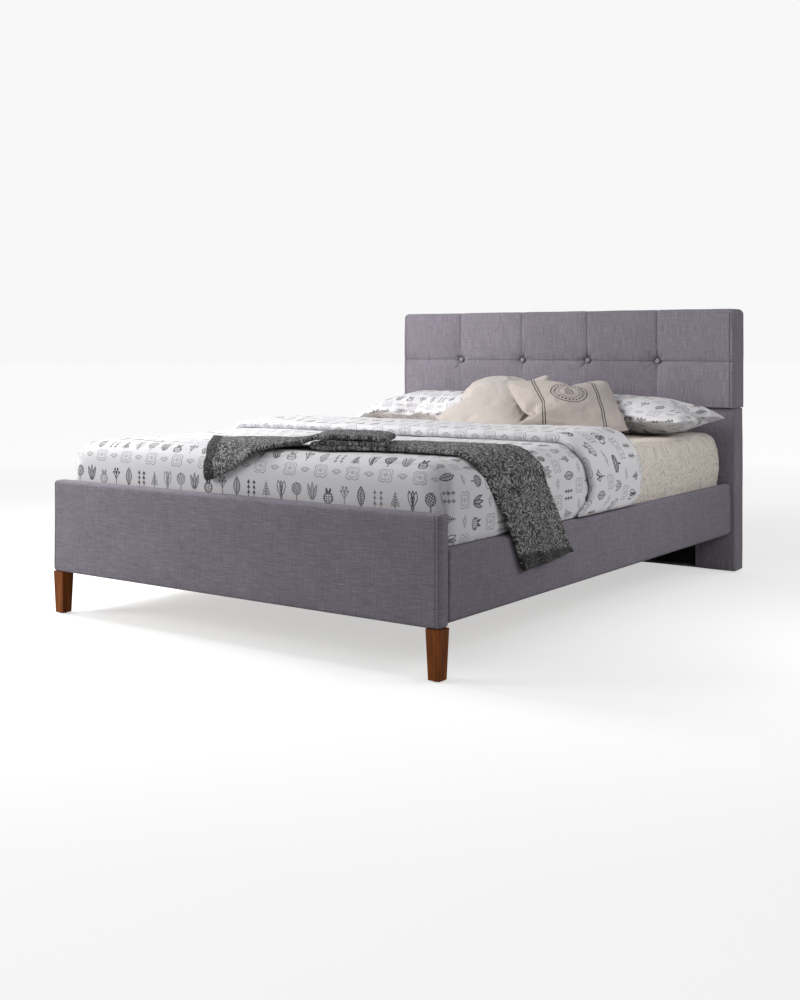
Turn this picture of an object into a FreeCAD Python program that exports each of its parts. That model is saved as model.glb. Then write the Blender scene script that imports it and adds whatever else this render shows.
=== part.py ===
# Upholstered headboard bed for a 1500 x 2000 mm mattress, dressed with mattress, duvet, pillows, cushions and throw.
# Millimetres, +Z up, +Y towards the headboard, +X to the sleeper's left when lying on the back (right-hand side seen from
# the foot). The origin is on the floor, at the centre of the bed's footprint.
import FreeCAD, Part
import math
import os

V = FreeCAD.Vector

# ---- driving dimensions -------------------------------------------------------------------------------------------
LENGTH = 2165.0            # footboard front to headboard back
W_FOOT = 1580.0            # footboard width
W_UPPER = 1610.0           # upper headboard panel width
W_LOWER = 1604.0           # lower headboard panel width
YF = -LENGTH / 2           # footboard front face
YB = LENGTH / 2            # headboard back face
T_FOOT = 50.0              # footboard thickness
T_UPPER = 105.0            # upper headboard panel thickness
T_LOWER = 85.0             # lower headboard panel thickness
Y_FI = YF + T_FOOT         # footboard inner face
Y_UF = YB - T_UPPER        # upper panel front face
Y_LF = YB - T_LOWER        # lower panel front face
Z_LEG = 142.0              # underside of the footboard
Z_FOOT = 450.0             # top of the footboard
Z_RB, Z_RT = 151.0, 354.0  # side rail, bottom and top
Z_SEAM = 655.0             # joint between lower and upper headboard panels
Z_HEAD = 1050.0            # top of the headboard
Z_TUFT = 845.0             # height of the row of buttons
COLS = 5                   # sewn columns in the upper panel
X_RI, X_RO = 754.0, 787.0  # side rail inner and outer faces
GLIDE = 3.0                # thickness of the plastic glides
LEG_TOP, LEG_FOOT = 48.0, 38.0
SLAT_N, SLAT_W, SLAT_T, Z_SLAT = 12, 95.0, 18.0, 305.0
LEDGE_W, LEDGE_H = 25.0, 35.0
BEAM_W, BEAM_H = 45.0, 70.0
MAT_X, MAT_Y0, MAT_Y1, MAT_Z0, MAT_Z1 = 745.0, -1004.0, 966.0, 306.5, 551.0
FLEECE = 8.0
DUVET_T = 20.0
BOLT_D, BOLT_HOLE = 8.0, 8.4

BUTTON_X = [W_UPPER * (i / COLS - 0.5) for i in range(1, COLS)]
CENTRE_LEG_Y = (-360.0, 330.0)


# ---- helpers ------------------------------------------------------------------------------------------------------
def box(x0, x1, y0, y1, z0, z1):
    return Part.makeBox(x1 - x0, y1 - y0, z1 - z0, V(x0, y0, z0))


def cyl(p, axis, r, h):
    return Part.makeCylinder(r, h, V(*p), V(*axis))


def prism(points, direction):
    return Part.Face(Part.makePolygon([V(*p) for p in points] + [V(*points[0])])).extrude(V(*direction))


def edges_where(shape, test):
    out = []
    for e in shape.Edges:
        a, b = e.Vertexes[0].Point, e.Vertexes[-1].Point
        if test(a, b):
            out.append(e)
    return out


def fillet(shape, r, test):
    return shape.makeFillet(r, edges_where(shape, test))


def near(a, b, tol=0.01):
    return abs(a - b) < tol


def fuse(first, *rest):
    s = first
    for r in rest:
        s = s.fuse(r)
    return s.removeSplitter()


def mirror(shape):
    return shape.mirror(V(0, 0, 0), V(1, 0, 0))


def group(shapes):
    solids = []
    for s in shapes:
        solids += s.Solids
    return Part.makeCompound(solids)


parts = {}


def add(name, shape):
    parts[name] = shape if len(shape.Solids) > 1 else shape.Solids[0]


# ---- bolts of the corner brackets, needed as holes in several pieces ------------------------------------------------
BR_Z = (178.0, 230.0)              # heights of the bracket bolts
BR_X = 716.0                       # bolts into footboard and headboard
BR_L = 62.0                        # bracket leg along the rail
BR_T = 2.5                         # bracket steel
SCREW_Y = [-940.0 + 310.0 * i for i in range(7)]


def bracket_bolt_axes():
    """(point on the bracket's outer face, direction into the timber, shank length)."""
    out = []
    for s in (-1, 1):
        for z in BR_Z:
            out.append(((s * BR_X, Y_FI + BR_T, z), (0, -1, 0), 34.0))
            out.append(((s * BR_X, Y_LF - BR_T, z), (0, 1, 0), 52.0))
            out.append(((s * (X_RI - BR_T), Y_FI + 38.0, z), (s, 0, 0), 24.0))
            out.append(((s * (X_RI - BR_T), Y_LF - 38.0, z), (s, 0, 0), 24.0))
    return out


BR_HOLES = [cyl((p[0] - d[0], p[1] - d[1], p[2]), d, BOLT_HOLE / 2, n + 1.5) for p, d, n in bracket_bolt_axes()]

# ---- headboard, upper panel ---------------------------------------------------------------------------------------
UC = (-785.0, 785.0, Y_UF + 34.5, YB - 3.0, Z_SEAM + 13.0, Z_HEAD - 15.0)
upper_frame = box(*UC)
for x0, x1 in ((-760, -640), (-540, -340), (-304, -18), (18, 304), (340, 540), (640, 760)):
    upper_frame = upper_frame.cut(box(x0, x1, UC[2] + 12, UC[3], UC[4] + 40, UC[5] - 40))
STRUTS = [box(s * 590 - 30, s * 590 + 30, YB - 33.0, YB - 3.0, 300.0, 980.0) for s in (-1, 1)]
STRUT_Z = (360.0, 560.0, 740.0, 930.0)
strut_bolts, strut_holes = [], []
for s in (-1, 1):
    for z in STRUT_Z:
        b = cyl((s * 590, YB - 8.0, z), (0, 1, 0), 8.0, 5.0).fuse(cyl((s * 590, YB - 58.0, z), (0, 1, 0), BOLT_D / 2, 50.5))
        strut_bolts.append(b)
        strut_holes.append(cyl((s * 590, YB - 8.0, z), (0, 1, 0), 8.5, 5.2).fuse(cyl((s * 590, YB - 60.0, z), (0, 1, 0), BOLT_HOLE / 2, 58.0)))
for st in STRUTS:
    upper_frame = upper_frame.cut(st)
upper_pad = box(-W_UPPER / 2, W_UPPER / 2, Y_UF, YB, Z_SEAM, Z_HEAD)
upper_pad = fillet(upper_pad, 24, lambda a, b: near(abs(a.x), W_UPPER / 2) and near(a.x, b.x) and near(a.z, Z_HEAD) and near(b.z, Z_HEAD))
upper_pad = fillet(upper_pad, 14, lambda a, b: near(a.y, Y_UF) and near(b.y, Y_UF))
upper_pad = upper_pad.cut(box(UC[0], UC[1], UC[2], YB + 1, UC[4], UC[5]))
for st in STRUTS:
    upper_pad = upper_pad.cut(st)
buttons = []
for i, x in enumerate(BUTTON_X):
    dimple = Part.makeCone(34, 12.0, 16, V(x, Y_UF - 0.5, Z_TUFT), V(0, 1, 0))
    upper_pad = upper_pad.cut(dimple)
    hole = cyl((x, Y_UF, Z_TUFT), (0, 1, 0), 1.7, 60)
    upper_pad = upper_pad.cut(hole)
    upper_frame = upper_frame.cut(hole)
    # fabric-covered dome, twine shank through pad and board, and a toggle at the back of the board
    dome = Part.makeSphere(17.0, V(x, Y_UF + 21.0, Z_TUFT)).common(cyl((x, Y_UF + 2, Z_TUFT), (0, 1, 0), 11.0, 8.0))
    plate = cyl((x, Y_UF + 9.5, Z_TUFT), (0, 1, 0), 11.0, 5.5)
    shank = cyl((x, Y_UF + 14.0, Z_TUFT), (0, 1, 0), 1.5, UC[2] + 12.0 - Y_UF - 14.0 + 2.0)
    toggle = cyl((x, UC[2] + 12.0, Z_TUFT), (0, 1, 0), 9.0, 3.0)
    add("headboard_button_%d" % (i + 1), fuse(dome, plate, shank, toggle))
for h in strut_holes:
    upper_frame = upper_frame.cut(h)
add("headboard_upper_frame", upper_frame)
add("headboard_upper_pad", upper_pad)
upper_lining = box(UC[0], UC[1], YB - 3.0, YB, UC[4], UC[5])

# ---- headboard, lower panel ---------------------------------------------------------------------------------------
LC = (-788.0, 788.0, Y_LF + 15.0, YB, 14.0, Z_SEAM - 10.0)
lower_frame = box(*LC[:3], YB - 3.0, LC[4], LC[5])
for x0, x1 in ((-540, -18), (18, 540)):
    lower_frame = lower_frame.cut(box(x0, x1, LC[2] + 12, YB + 1, LC[4] + 60, LC[5] - 40))
lower_pad = box(-W_LOWER / 2, W_LOWER / 2, Y_LF, YB, GLIDE + 1.0, Z_SEAM)
lower_pad = fillet(lower_pad, 10, lambda a, b: near(abs(a.x), W_LOWER / 2) and near(a.x, b.x) and near(a.y, Y_LF) and near(b.y, Y_LF))
lower_pad = lower_pad.cut(box(LC[0], LC[1], LC[2], YB + 1, LC[4], LC[5]))
lower_pad = lower_pad.cut(box(-635, 635, Y_LF - 1, LC[2], -1, 205))      # black lining instead of fabric, out of sight
lower_pad = lower_pad.cut(box(-635, 635, Y_LF - 1, YB + 1, -1, LC[4]))
lower_lining = box(-635, 635, LC[2] - 3.0, LC[2], LC[4], 205)
add("headboard_back_lining", group([upper_lining, box(LC[0], LC[1], YB - 3.0, YB, LC[4], LC[5])]))
for st in STRUTS:
    # the struts stand in channels at the back of both panels
    ch = box(st.BoundBox.XMin, st.BoundBox.XMax, YB - 33.0, YB + 1.0, 300.0, LC[5] + 1)
    lower_frame = lower_frame.cut(ch)
    lower_pad = lower_pad.cut(box(st.BoundBox.XMin, st.BoundBox.XMax, YB - 33.0, YB - 3.0, LC[5], Z_SEAM))
for h in BR_HOLES + strut_holes:
    if h.BoundBox.YMax > 0:
        lower_frame = lower_frame.cut(h)
        lower_pad = lower_pad.cut(h)
add("headboard_lower_frame", lower_frame)
add("headboard_lower_pad", lower_pad)
add("headboard_lower_lining", lower_lining)
for s, name in ((-1, "left"), (1, "right")):
    st = STRUTS[0] if s < 0 else STRUTS[1]
    for h in strut_holes:
        st = st.cut(h)
    add("headboard_strut_" + name, st)
add("headboard_bolts", group(strut_bolts))

# ---- footboard ----------------------------------------------------------------------------------------------------
FC = (-780.0, 780.0, YF + 14.0, Y_FI - 8.0, Z_LEG, Z_FOOT - 16.0)
foot_frame = box(*FC)
foot_pad = box(-W_FOOT / 2, W_FOOT / 2, YF, Y_FI, Z_LEG, Z_FOOT)
foot_pad = fillet(foot_pad, 15, lambda a, b: near(abs(a.x), W_FOOT / 2) and near(a.x, b.x) and near(a.y, b.y) and near(a.y, YF))
foot_pad = fillet(foot_pad, 9, lambda a, b: near(a.z, Z_FOOT) and near(b.z, Z_FOOT))
foot_pad = foot_pad.cut(box(FC[0], FC[1], FC[2], FC[3], Z_LEG - 1, FC[5]))
LEG_X, LEG_Y = W_FOOT / 2 - LEG_TOP / 2, YF + T_FOOT / 2
HANGER_UP, HANGER_DOWN = 42.0, 48.0
leg_holes = [cyl((s * LEG_X, LEG_Y, Z_LEG - HANGER_DOWN - 2), (0, 0, 1), BOLT_HOLE / 2, HANGER_UP + HANGER_DOWN + 4) for s in (-1, 1)]
for h in leg_holes + [b for b in BR_HOLES if b.BoundBox.YMin < 0]:
    foot_frame = foot_frame.cut(h)
    foot_pad = foot_pad.cut(h)
add("footboard_frame", foot_frame)
add("footboard_pad", foot_pad)

# ---- legs, glides and hanger bolts ----------------------------------------------------------------------------------
glides, hangers = [], []


def glide(x, y, z_up):
    g = cyl((x, y, 0), (0, 0, 1), 13.0, GLIDE)
    g = g.makeFillet(0.8, [e for e in g.Edges if near(e.BoundBox.ZMin, 0) and near(e.BoundBox.ZMax, 0)])
    return g.fuse(cyl((x, y, GLIDE - 0.5), (0, 0, 1), 1.5, z_up + 0.5))


for s, name in ((-1, "left"), (1, "right")):
    x, y, a, b = s * LEG_X, LEG_Y, LEG_TOP / 2, LEG_FOOT / 2
    leg = Part.makeWedge(-b, 0, -b, -a, -a, b, Z_LEG - GLIDE, b, a, a)
    leg.rotate(V(0, 0, 0), V(1, 0, 0), 90)
    leg.translate(V(x, y, GLIDE))
    leg = leg.makeFillet(2.5, edges_where(leg, lambda p, q: abs(p.z - q.z) > 100))
    leg = leg.cut(cyl((x, y, Z_LEG - HANGER_DOWN), (0, 0, 1), BOLT_HOLE / 2, HANGER_DOWN + 5))
    leg = leg.cut(cyl((x, y, 0), (0, 0, 1), 1.7, GLIDE + 13))
    add("leg_" + name, leg)
    hangers.append(cyl((x, y, Z_LEG - HANGER_DOWN), (0, 0, 1), BOLT_D / 2, HANGER_UP + HANGER_DOWN))
    glides.append(glide(x, y, 12.0))
for s in (-1, 1):
    for xx in (330.0, 715.0):
        # headboard glides sit under the panel's own bottom rail
        g = cyl((s * xx, YB - 40.0, 0), (0, 0, 1), 13.0, LC[4] if xx < 635 else GLIDE + 1.0)
        glides.append(g)

# ---- side rails and slat ledges -----------------------------------------------------------------------------------
RC = (757.0, 779.0, Z_RB + 8.0, Z_RT - 9.0)
ledge_screws = []
for s, name in ((-1, "left"), (1, "right")):
    board = box(RC[0], RC[1], Y_FI, Y_LF, RC[2], RC[3])
    pad = box(X_RI, X_RO, Y_FI, Y_LF, Z_RB, Z_RT)
    pad = fillet(pad, 10, lambda a, b: near(a.x, X_RO) and near(b.x, X_RO) and near(a.z, b.z))
    pad = fillet(pad, 5, lambda a, b: near(a.x, X_RI) and near(b.x, X_RI) and near(a.z, Z_RT) and near(b.z, Z_RT))
    pad = pad.cut(board)
    ledge = box(X_RI - LEDGE_W, X_RI, Y_FI + 30.0, Y_LF - 30.0, Z_SLAT - SLAT_T - LEDGE_H, Z_SLAT - SLAT_T)
    zs = Z_SLAT - SLAT_T - LEDGE_H / 2
    for y in SCREW_Y:
        x0 = X_RI - LEDGE_W
        hole = cyl((x0 - 1, y, zs), (1, 0, 0), 4.3, 5.2).fuse(cyl((x0, y, zs), (1, 0, 0), 2.2, 44.0))
        screw = cyl((x0 + 0.2, y, zs), (1, 0, 0), 4.0, 3.8).fuse(cyl((x0 + 3.0, y, zs), (1, 0, 0), 2.0, 39.0))
        board, pad, ledge = board.cut(hole), pad.cut(hole), ledge.cut(hole)
        ledge_screws.append(screw if s > 0 else mirror(screw))
    if s < 0:
        board, pad, ledge = mirror(board), mirror(pad), mirror(ledge)
    for h in BR_HOLES:
        if h.BoundBox.XMin * s > 0 and h.BoundBox.XMax * s > 0:
            board, pad = board.cut(h), pad.cut(h)
    add("rail_%s_board" % name, board)
    add("rail_%s_pad" % name, pad)
    add("slat_ledge_" + name, ledge)
add("ledge_screws", group(ledge_screws))

# ---- corner brackets ----------------------------------------------------------------------------------------------
for s, side in ((-1, "left"), (1, "right")):
    for end, y0, inward in (("foot", Y_FI, 1), ("head", Y_LF, -1)):
        ya, yb = sorted((y0, y0 + inward * BR_L))
        yc, yd = sorted((y0, y0 + inward * BR_T))
        b = fuse(box(X_RI - BR_T, X_RI, ya, yb, Z_RB + 6, 249.0), box(690.0, X_RI, yc, yd, Z_RB + 6, 249.0))
        if s < 0:
            b = mirror(b)
        for h in BR_HOLES:
            b = b.cut(h)
        add("corner_bracket_%s_%s" % (end, side), b)
bb = []
for p, d, n in bracket_bolt_axes():
    shank = cyl(p, d, BOLT_D / 2, n)
    head = Part.makeCylinder(7.0, 4.5, V(*p) - V(*d) * 4.5, V(*d))
    head = head.cut(Part.makeCylinder(2.5, 2.5, V(*p) - V(*d) * 4.5, V(*d)))
    bb.append(shank.fuse(head))
add("bracket_bolts", group(bb))

# ---- centre beam, its brackets, legs and levelling feet --------------------------------------------------------------
Z_BT = Z_SLAT - SLAT_T
beam = box(-BEAM_W / 2, BEAM_W / 2, Y_FI + 2.5, Y_LF - 2.5, Z_BT - BEAM_H, Z_BT)
centre_holes = []
for y in CENTRE_LEG_Y:
    centre_holes.append(cyl((0, y, 180.0), (0, 0, 1), BOLT_HOLE / 2, 72.0))
    hangers.append(cyl((0, y, 180.0), (0, 0, 1), BOLT_D / 2, 70.0))
for h in centre_holes:
    beam = beam.cut(h)
add("centre_beam", beam)
for end, y0, inward in (("foot", Y_FI, 1), ("head", Y_LF, -1)):
    ya, yb = sorted((y0, y0 + inward * 2.5))
    yc, yd = sorted((y0, y0 + inward * 42.0))
    zb = Z_BT - BEAM_H
    u = fuse(box(-48, 48, ya, yb, zb - 2.5, zb + 50), box(-25, 25, yc, yd, zb - 2.5, zb),
             box(-25, -22.5, yc, yd, zb - 2.5, zb + 40), box(22.5, 25, yc, yd, zb - 2.5, zb + 40))
    add("centre_beam_bracket_" + end, u)
LEV_UP = 15.0
for i, y in enumerate(CENTRE_LEG_Y):
    name = ("front", "rear")[i]
    post = box(-20, 20, y - 20, y + 20, 28.0, Z_BT - BEAM_H)
    post = fillet(post, 3, lambda a, b: abs(a.z - b.z) > 100)
    post = post.cut(centre_holes[i]).cut(cyl((0, y, 28.0), (0, 0, 1), 4.1, 52.0))
    add("centre_leg_" + name, post)
    foot = cyl((0, y, 0), (0, 0, 1), 18.0, 7.0)
    foot = foot.makeFillet(1.5, [e for e in foot.Edges if near(e.BoundBox.ZMin, 7.0) and near(e.BoundBox.ZMax, 7.0)])
    foot = foot.fuse(cyl((0, y, 6.0), (0, 0, 1), 4.0, 54.0)).fuse(cyl((0, y, 7.0), (0, 0, 1), 7.5, 4.0))
    add("leveller_" + name, foot.removeSplitter())
add("hanger_bolts", group(hangers))
add("floor_glides", group(glides))

# ---- slats and webbing ----------------------------------------------------------------------------------------------
SL_Y0, SL_Y1 = Y_FI + 36.0, Y_LF - 36.0 - SLAT_W
pitch = (SL_Y1 - SL_Y0) / (SLAT_N - 1)
for i in range(SLAT_N):
    y = SL_Y0 + pitch * i
    sl = box(-750.0, 750.0, y, y + SLAT_W, Z_SLAT - SLAT_T, Z_SLAT)
    sl = fillet(sl, 3, lambda a, b: abs(a.x - b.x) > 100)
    add("slat_%02d" % (i + 1), sl)
add("slat_webbing", group([box(x - 12.5, x + 12.5, SL_Y0 + 10, SL_Y1 + SLAT_W - 10, Z_SLAT, Z_SLAT + 0.8) for x in (-480.0, 480.0)]))

# ---- mattress and its fleece cover ----------------------------------------------------------------------------------
mattress = box(-MAT_X, MAT_X, MAT_Y0, MAT_Y1, MAT_Z0, MAT_Z1)
mattress = fillet(mattress, 55, lambda a, b: abs(a.z - b.z) > 100)
WALL = 18.0                # the springs and foam inside weigh little, so the block is closed and hollow
inner = box(-MAT_X + WALL, MAT_X - WALL, MAT_Y0 + WALL, MAT_Y1 - WALL, MAT_Z0 + WALL, MAT_Z1 - WALL)
inner = fillet(inner, 55 - WALL, lambda a, b: abs(a.z - b.z) > 100)
add("mattress", mattress.cut(inner))
cover = box(-MAT_X - FLEECE, MAT_X + FLEECE, MAT_Y0 - FLEECE, MAT_Y1 + FLEECE, MAT_Z0 + 22, MAT_Z1 + FLEECE)
cover = fillet(cover, 55 + FLEECE, lambda a, b: abs(a.z - b.z) > 100)
cover = cover.cut(mattress)
add("mattress_cover", cover)

# ---- duvet: main quilt hanging to the rail tops, with its head end folded back on itself ------------------------------
IX, IY0, IZ = MAT_X + FLEECE + 0.6, MAT_Y0 - FLEECE - 0.6, MAT_Z1 + FLEECE + 0.6
D_OX, D_FY, D_TZ = IX + DUVET_T - 0.6, IY0 - 17.4, IZ + 24.4
FOLD_Y0, FOLD_Y1 = -232.0, 168.0
ZD = Z_RT + 2.0
main = box(-D_OX, D_OX, D_FY, FOLD_Y1, ZD, D_TZ)
main = fillet(main, 40, lambda a, b: abs(a.z - b.z) > 100 and a.y < 0)
main = main.makeChamfer(14, [e for e in main.Edges if near(e.BoundBox.ZMin, D_TZ) and near(e.BoundBox.ZMax, D_TZ) and not near(e.BoundBox.YMin, FOLD_Y1)])
band_profile = [(-D_OX - 13, FOLD_Y0, ZD), (-D_OX - 13, FOLD_Y0, D_TZ - 8), (-D_OX + 22, FOLD_Y0, D_TZ + 25),
                (D_OX - 22, FOLD_Y0, D_TZ + 25), (D_OX + 13, FOLD_Y0, D_TZ - 8), (D_OX + 13, FOLD_Y0, ZD)]
band = prism(band_profile, (0, FOLD_Y1 - FOLD_Y0, 0))
duvet = main.fuse(band).removeSplitter()
duvet = duvet.cut(box(-IX, IX, IY0, FOLD_Y1 + 1, 0, IZ))
add("duvet", duvet)

# ---- throw: knitted strip over the foot of the bed, one end over the foot edge and the other down the right rail ----
TT = 11.0
Z0 = D_TZ + 0.6
top = prism([(-300, -1012, Z0), (-230, -740, Z0), (40, -700, Z0), (400, -640, Z0), (700, -500, Z0), (760, -480, Z0), (760, -810, Z0), (640, -850, Z0),
             (400, -930, Z0), (150, -990, Z0), (0, -1012, Z0)], (0, 0, TT))
XS = X_RO + 2.0
bend = prism([(755, -480, Z0), (755, -480, Z0 + TT), (764, -480, Z0 + TT), (XS + 10, -480, Z0 - 26), (XS + 10, -480, Z0 - 60), (XS, -480, Z0 - 60), (XS, -480, Z0 - 34),
              (762, -480, Z0)], (0, -330, 0))
drop = prism([(XS, -480, Z0 - 58), (XS, -810, Z0 - 58), (XS, -765, 370), (XS, -620, 236), (XS, -376, 262), (XS, -440, 400)], (10, 0, 0))
pleat = box(70, 400, -940, -740, Z0 + 5, Z0 + 46)
pleat = fillet(pleat, 9, lambda a, b: abs(a.y - b.y) > 100 and a.z > Z0 + 20)
YE = D_FY - 1.5
foot_end = prism([(-300, -1010, Z0), (-300, -1010, Z0 + TT), (-300, -1026, Z0 + TT), (-300, YE - 10, Z0 - 8), (-300, YE - 10, 484), (-300, YE, 484),
                  (-300, YE, Z0 - 11), (-300, -1019, Z0)], (240, 0, 0))
foot_end = foot_end.cut(prism([(-300, -2000, 400), (-60, -2000, 400), (-60, -2000, 560), (-150, -2000, 484), (-300, -2000, 484)], (0, 1500, 0)))
throw = top.fuse([bend, drop, pleat, foot_end]).removeSplitter()
add("throw", throw)


# ---- pillows and cushions: crowned closed solids --------------------------------------------------------------------
def crowned(sx, sy, wall=6.0):
    """A crowned cushion solid: the common part of an XZ outline run along Y and a YZ outline run along X, closed and
    hollow, because its filling weighs little."""
    def run(inset):
        out = []
        for pts in (sx, sy):
            u0, u1 = min(p[0] for p in pts), max(p[0] for p in pts)
            w0, w1 = min(p[1] for p in pts), max(p[1] for p in pts)
            uc, wc = (u0 + u1) / 2, (w0 + w1) / 2
            ku, kw = 1 - 2.5 * inset / (u1 - u0), 1 - 2 * inset / (w1 - w0)
            out.append([(uc + (u - uc) * ku, wc + (w - wc) * kw) for u, w in pts])
        a = prism([(x, -2000, z) for x, z in out[0]], (0, 4000, 0))
        return a.common(prism([(-2000, y, z) for y, z in out[1]], (4000, 0, 0)))
    return run(0.0).cut(run(wall))


PX = [(-385, 606), (-340, 580), (-260, 560.2), (260, 560.2), (340, 580), (385, 606), (385, 622), (340, 655), (250, 692), (120, 712),
      (-120, 712), (-250, 692), (-340, 655), (-385, 622)]
PY = [(500, 598), (545, 572), (612, 560.2), (870, 560.2), (935, 572), (970, 600), (970, 618), (950, 645), (890, 698), (800, 712),
      (720, 700), (620, 664), (545, 627), (500, 606)]
for s, name in ((-1, "left"), (1, "right")):
    p = crowned(PX, PY)
    p.translate(V(s * 412.0, 0, 0))
    add("pillow_" + name, p)


def cushion(w, h, t, tilt, yaw, roll, at):
    """w wide, h along the slope, t thick at the crown; tilt back from flat, roll in its own plane, then yaw about Z."""
    def outline(r):
        q = [(-r, -t * .07), (-r * .78, -t * .33), (-r * .35, -t * .5), (r * .35, -t * .5), (r * .78, -t * .33), (r, -t * .07)]
        return q + [(a, -b) for a, b in reversed(q)]
    c = crowned(outline(w / 2), outline(h / 2))
    c.rotate(V(0, 0, 0), V(0, 0, 1), roll)
    c.rotate(V(0, 0, 0), V(1, 0, 0), tilt)
    c.rotate(V(0, 0, 0), V(0, 0, 1), yaw)
    c.translate(V(*at))
    return c


add("cushion_plain", cushion(430.0, 420.0, 110.0, 25.0, 0.0, 0.0, (-4.0, 502.0, 688.0)))
add("cushion_printed", cushion(420.0, 380.0, 110.0, 26.0, 43.0, 0.0, (352.0, 449.0, 694.0)))

# ---- write ----------------------------------------------------------------------------------------------------------
os.makedirs("parts", exist_ok=True)
for f in os.listdir("parts"):
    if f.endswith(".step"):
        os.remove(os.path.join("parts", f))
for name, shape in parts.items():
    bad = [s for s in shape.Solids if not s.isValid() or s.Volume <= 0]
    if bad or not shape.Solids:
        print("INVALID", name, len(bad), len(shape.Solids))
    shape.exportStep(os.path.join("parts", name + ".step"))
print(len(parts), "parts")
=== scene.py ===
import bpy
import math
import numpy as np
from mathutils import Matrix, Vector


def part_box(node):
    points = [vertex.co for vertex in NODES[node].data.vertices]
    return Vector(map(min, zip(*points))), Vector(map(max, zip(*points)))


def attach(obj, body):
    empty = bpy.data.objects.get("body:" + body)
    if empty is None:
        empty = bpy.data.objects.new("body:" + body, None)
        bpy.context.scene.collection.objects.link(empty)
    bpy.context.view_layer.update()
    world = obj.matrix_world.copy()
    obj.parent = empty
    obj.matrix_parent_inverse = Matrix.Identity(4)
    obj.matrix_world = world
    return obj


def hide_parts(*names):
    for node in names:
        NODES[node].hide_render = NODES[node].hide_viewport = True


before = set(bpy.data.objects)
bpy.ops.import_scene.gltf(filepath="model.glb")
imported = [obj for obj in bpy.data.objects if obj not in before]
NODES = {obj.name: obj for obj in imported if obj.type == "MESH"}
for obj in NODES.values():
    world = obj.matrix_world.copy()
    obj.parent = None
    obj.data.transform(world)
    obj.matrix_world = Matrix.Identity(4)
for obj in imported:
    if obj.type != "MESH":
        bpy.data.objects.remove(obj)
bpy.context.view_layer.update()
scene = bpy.context.scene


# =====================================================================================================================
# numbers shared with the frame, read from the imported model
# =====================================================================================================================
def lohi(node):
    a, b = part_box(node)
    return np.array(a), np.array(b)


UP_LO, UP_HI = lohi("headboard_upper_pad")
LW_LO, LW_HI = lohi("headboard_lower_pad")
FT_LO, FT_HI = lohi("footboard_pad")
RL_LO, RL_HI = lohi("rail_right_pad")
MC_LO, MC_HI = lohi("mattress_cover")
MA_LO, MA_HI = lohi("mattress")
DV_LO, DV_HI = lohi("duvet")
BUTTONS = []
for i in range(1, 5):
    a, b = lohi("headboard_button_%d" % i)
    BUTTONS.append(((a[0] + b[0]) / 2 - 0.007, (a[2] + b[2]) / 2 - 0.004))
Z_TUFT = BUTTONS[0][1]


# =====================================================================================================================
# numpy noise
# =====================================================================================================================
def _hash(ix, iy, iz, seed):
    h = (ix.astype(np.int64) * 374761393 + iy.astype(np.int64) * 668265263 + iz.astype(np.int64) * 1274126177 + seed * 974711) & 0xFFFFFFFF
    h = (h ^ (h >> 13)) * 1274126177 & 0xFFFFFFFF
    h = (h ^ (h >> 16)) * 2246822519 & 0xFFFFFFFF
    return ((h ^ (h >> 15)) & 0xFFFFFF) / float(0xFFFFFF)


def vnoise(p, scale, seed=0):
    q = p / np.asarray(scale, float)
    i = np.floor(q).astype(np.int64)
    f = q - i
    f = f * f * f * (f * (f * 6 - 15) + 10)
    out = np.zeros(len(p))
    for dx in (0, 1):
        for dy in (0, 1):
            for dz in (0, 1):
                w = (f[:, 0] if dx else 1 - f[:, 0]) * (f[:, 1] if dy else 1 - f[:, 1]) * (f[:, 2] if dz else 1 - f[:, 2])
                out += w * _hash(i[:, 0] + dx, i[:, 1] + dy, i[:, 2] + dz, seed)
    return out * 2 - 1


def fbm(p, scale, octaves=3, seed=0, gain=0.5):
    out, a, s = np.zeros(len(p)), 1.0, np.asarray(scale, float) * np.ones(3)
    for k in range(octaves):
        out += a * vnoise(p, s, seed + 17 * k)
        a *= gain
        s = s / 2.03
    return out


def worley(p, scale, seed=0):
    q = p / np.asarray(scale, float)
    i = np.floor(q).astype(np.int64)
    best = np.full(len(p), 9.0)
    for dx in (-1, 0, 1):
        for dy in (-1, 0, 1):
            for dz in (-1, 0, 1):
                c = i + np.array([dx, dy, dz])
                o = np.stack([_hash(c[:, 0], c[:, 1], c[:, 2], seed + k) for k in (1, 2, 3)], 1)
                best = np.minimum(best, ((q - c - o) ** 2).sum(1))
    return np.sqrt(best)


def sstep(a, b, x):
    t = np.clip((x - a) / (b - a), 0, 1)
    return t * t * (3 - 2 * t)


def bump(x, w):
    return np.exp(-(x / w) ** 2)


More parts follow.
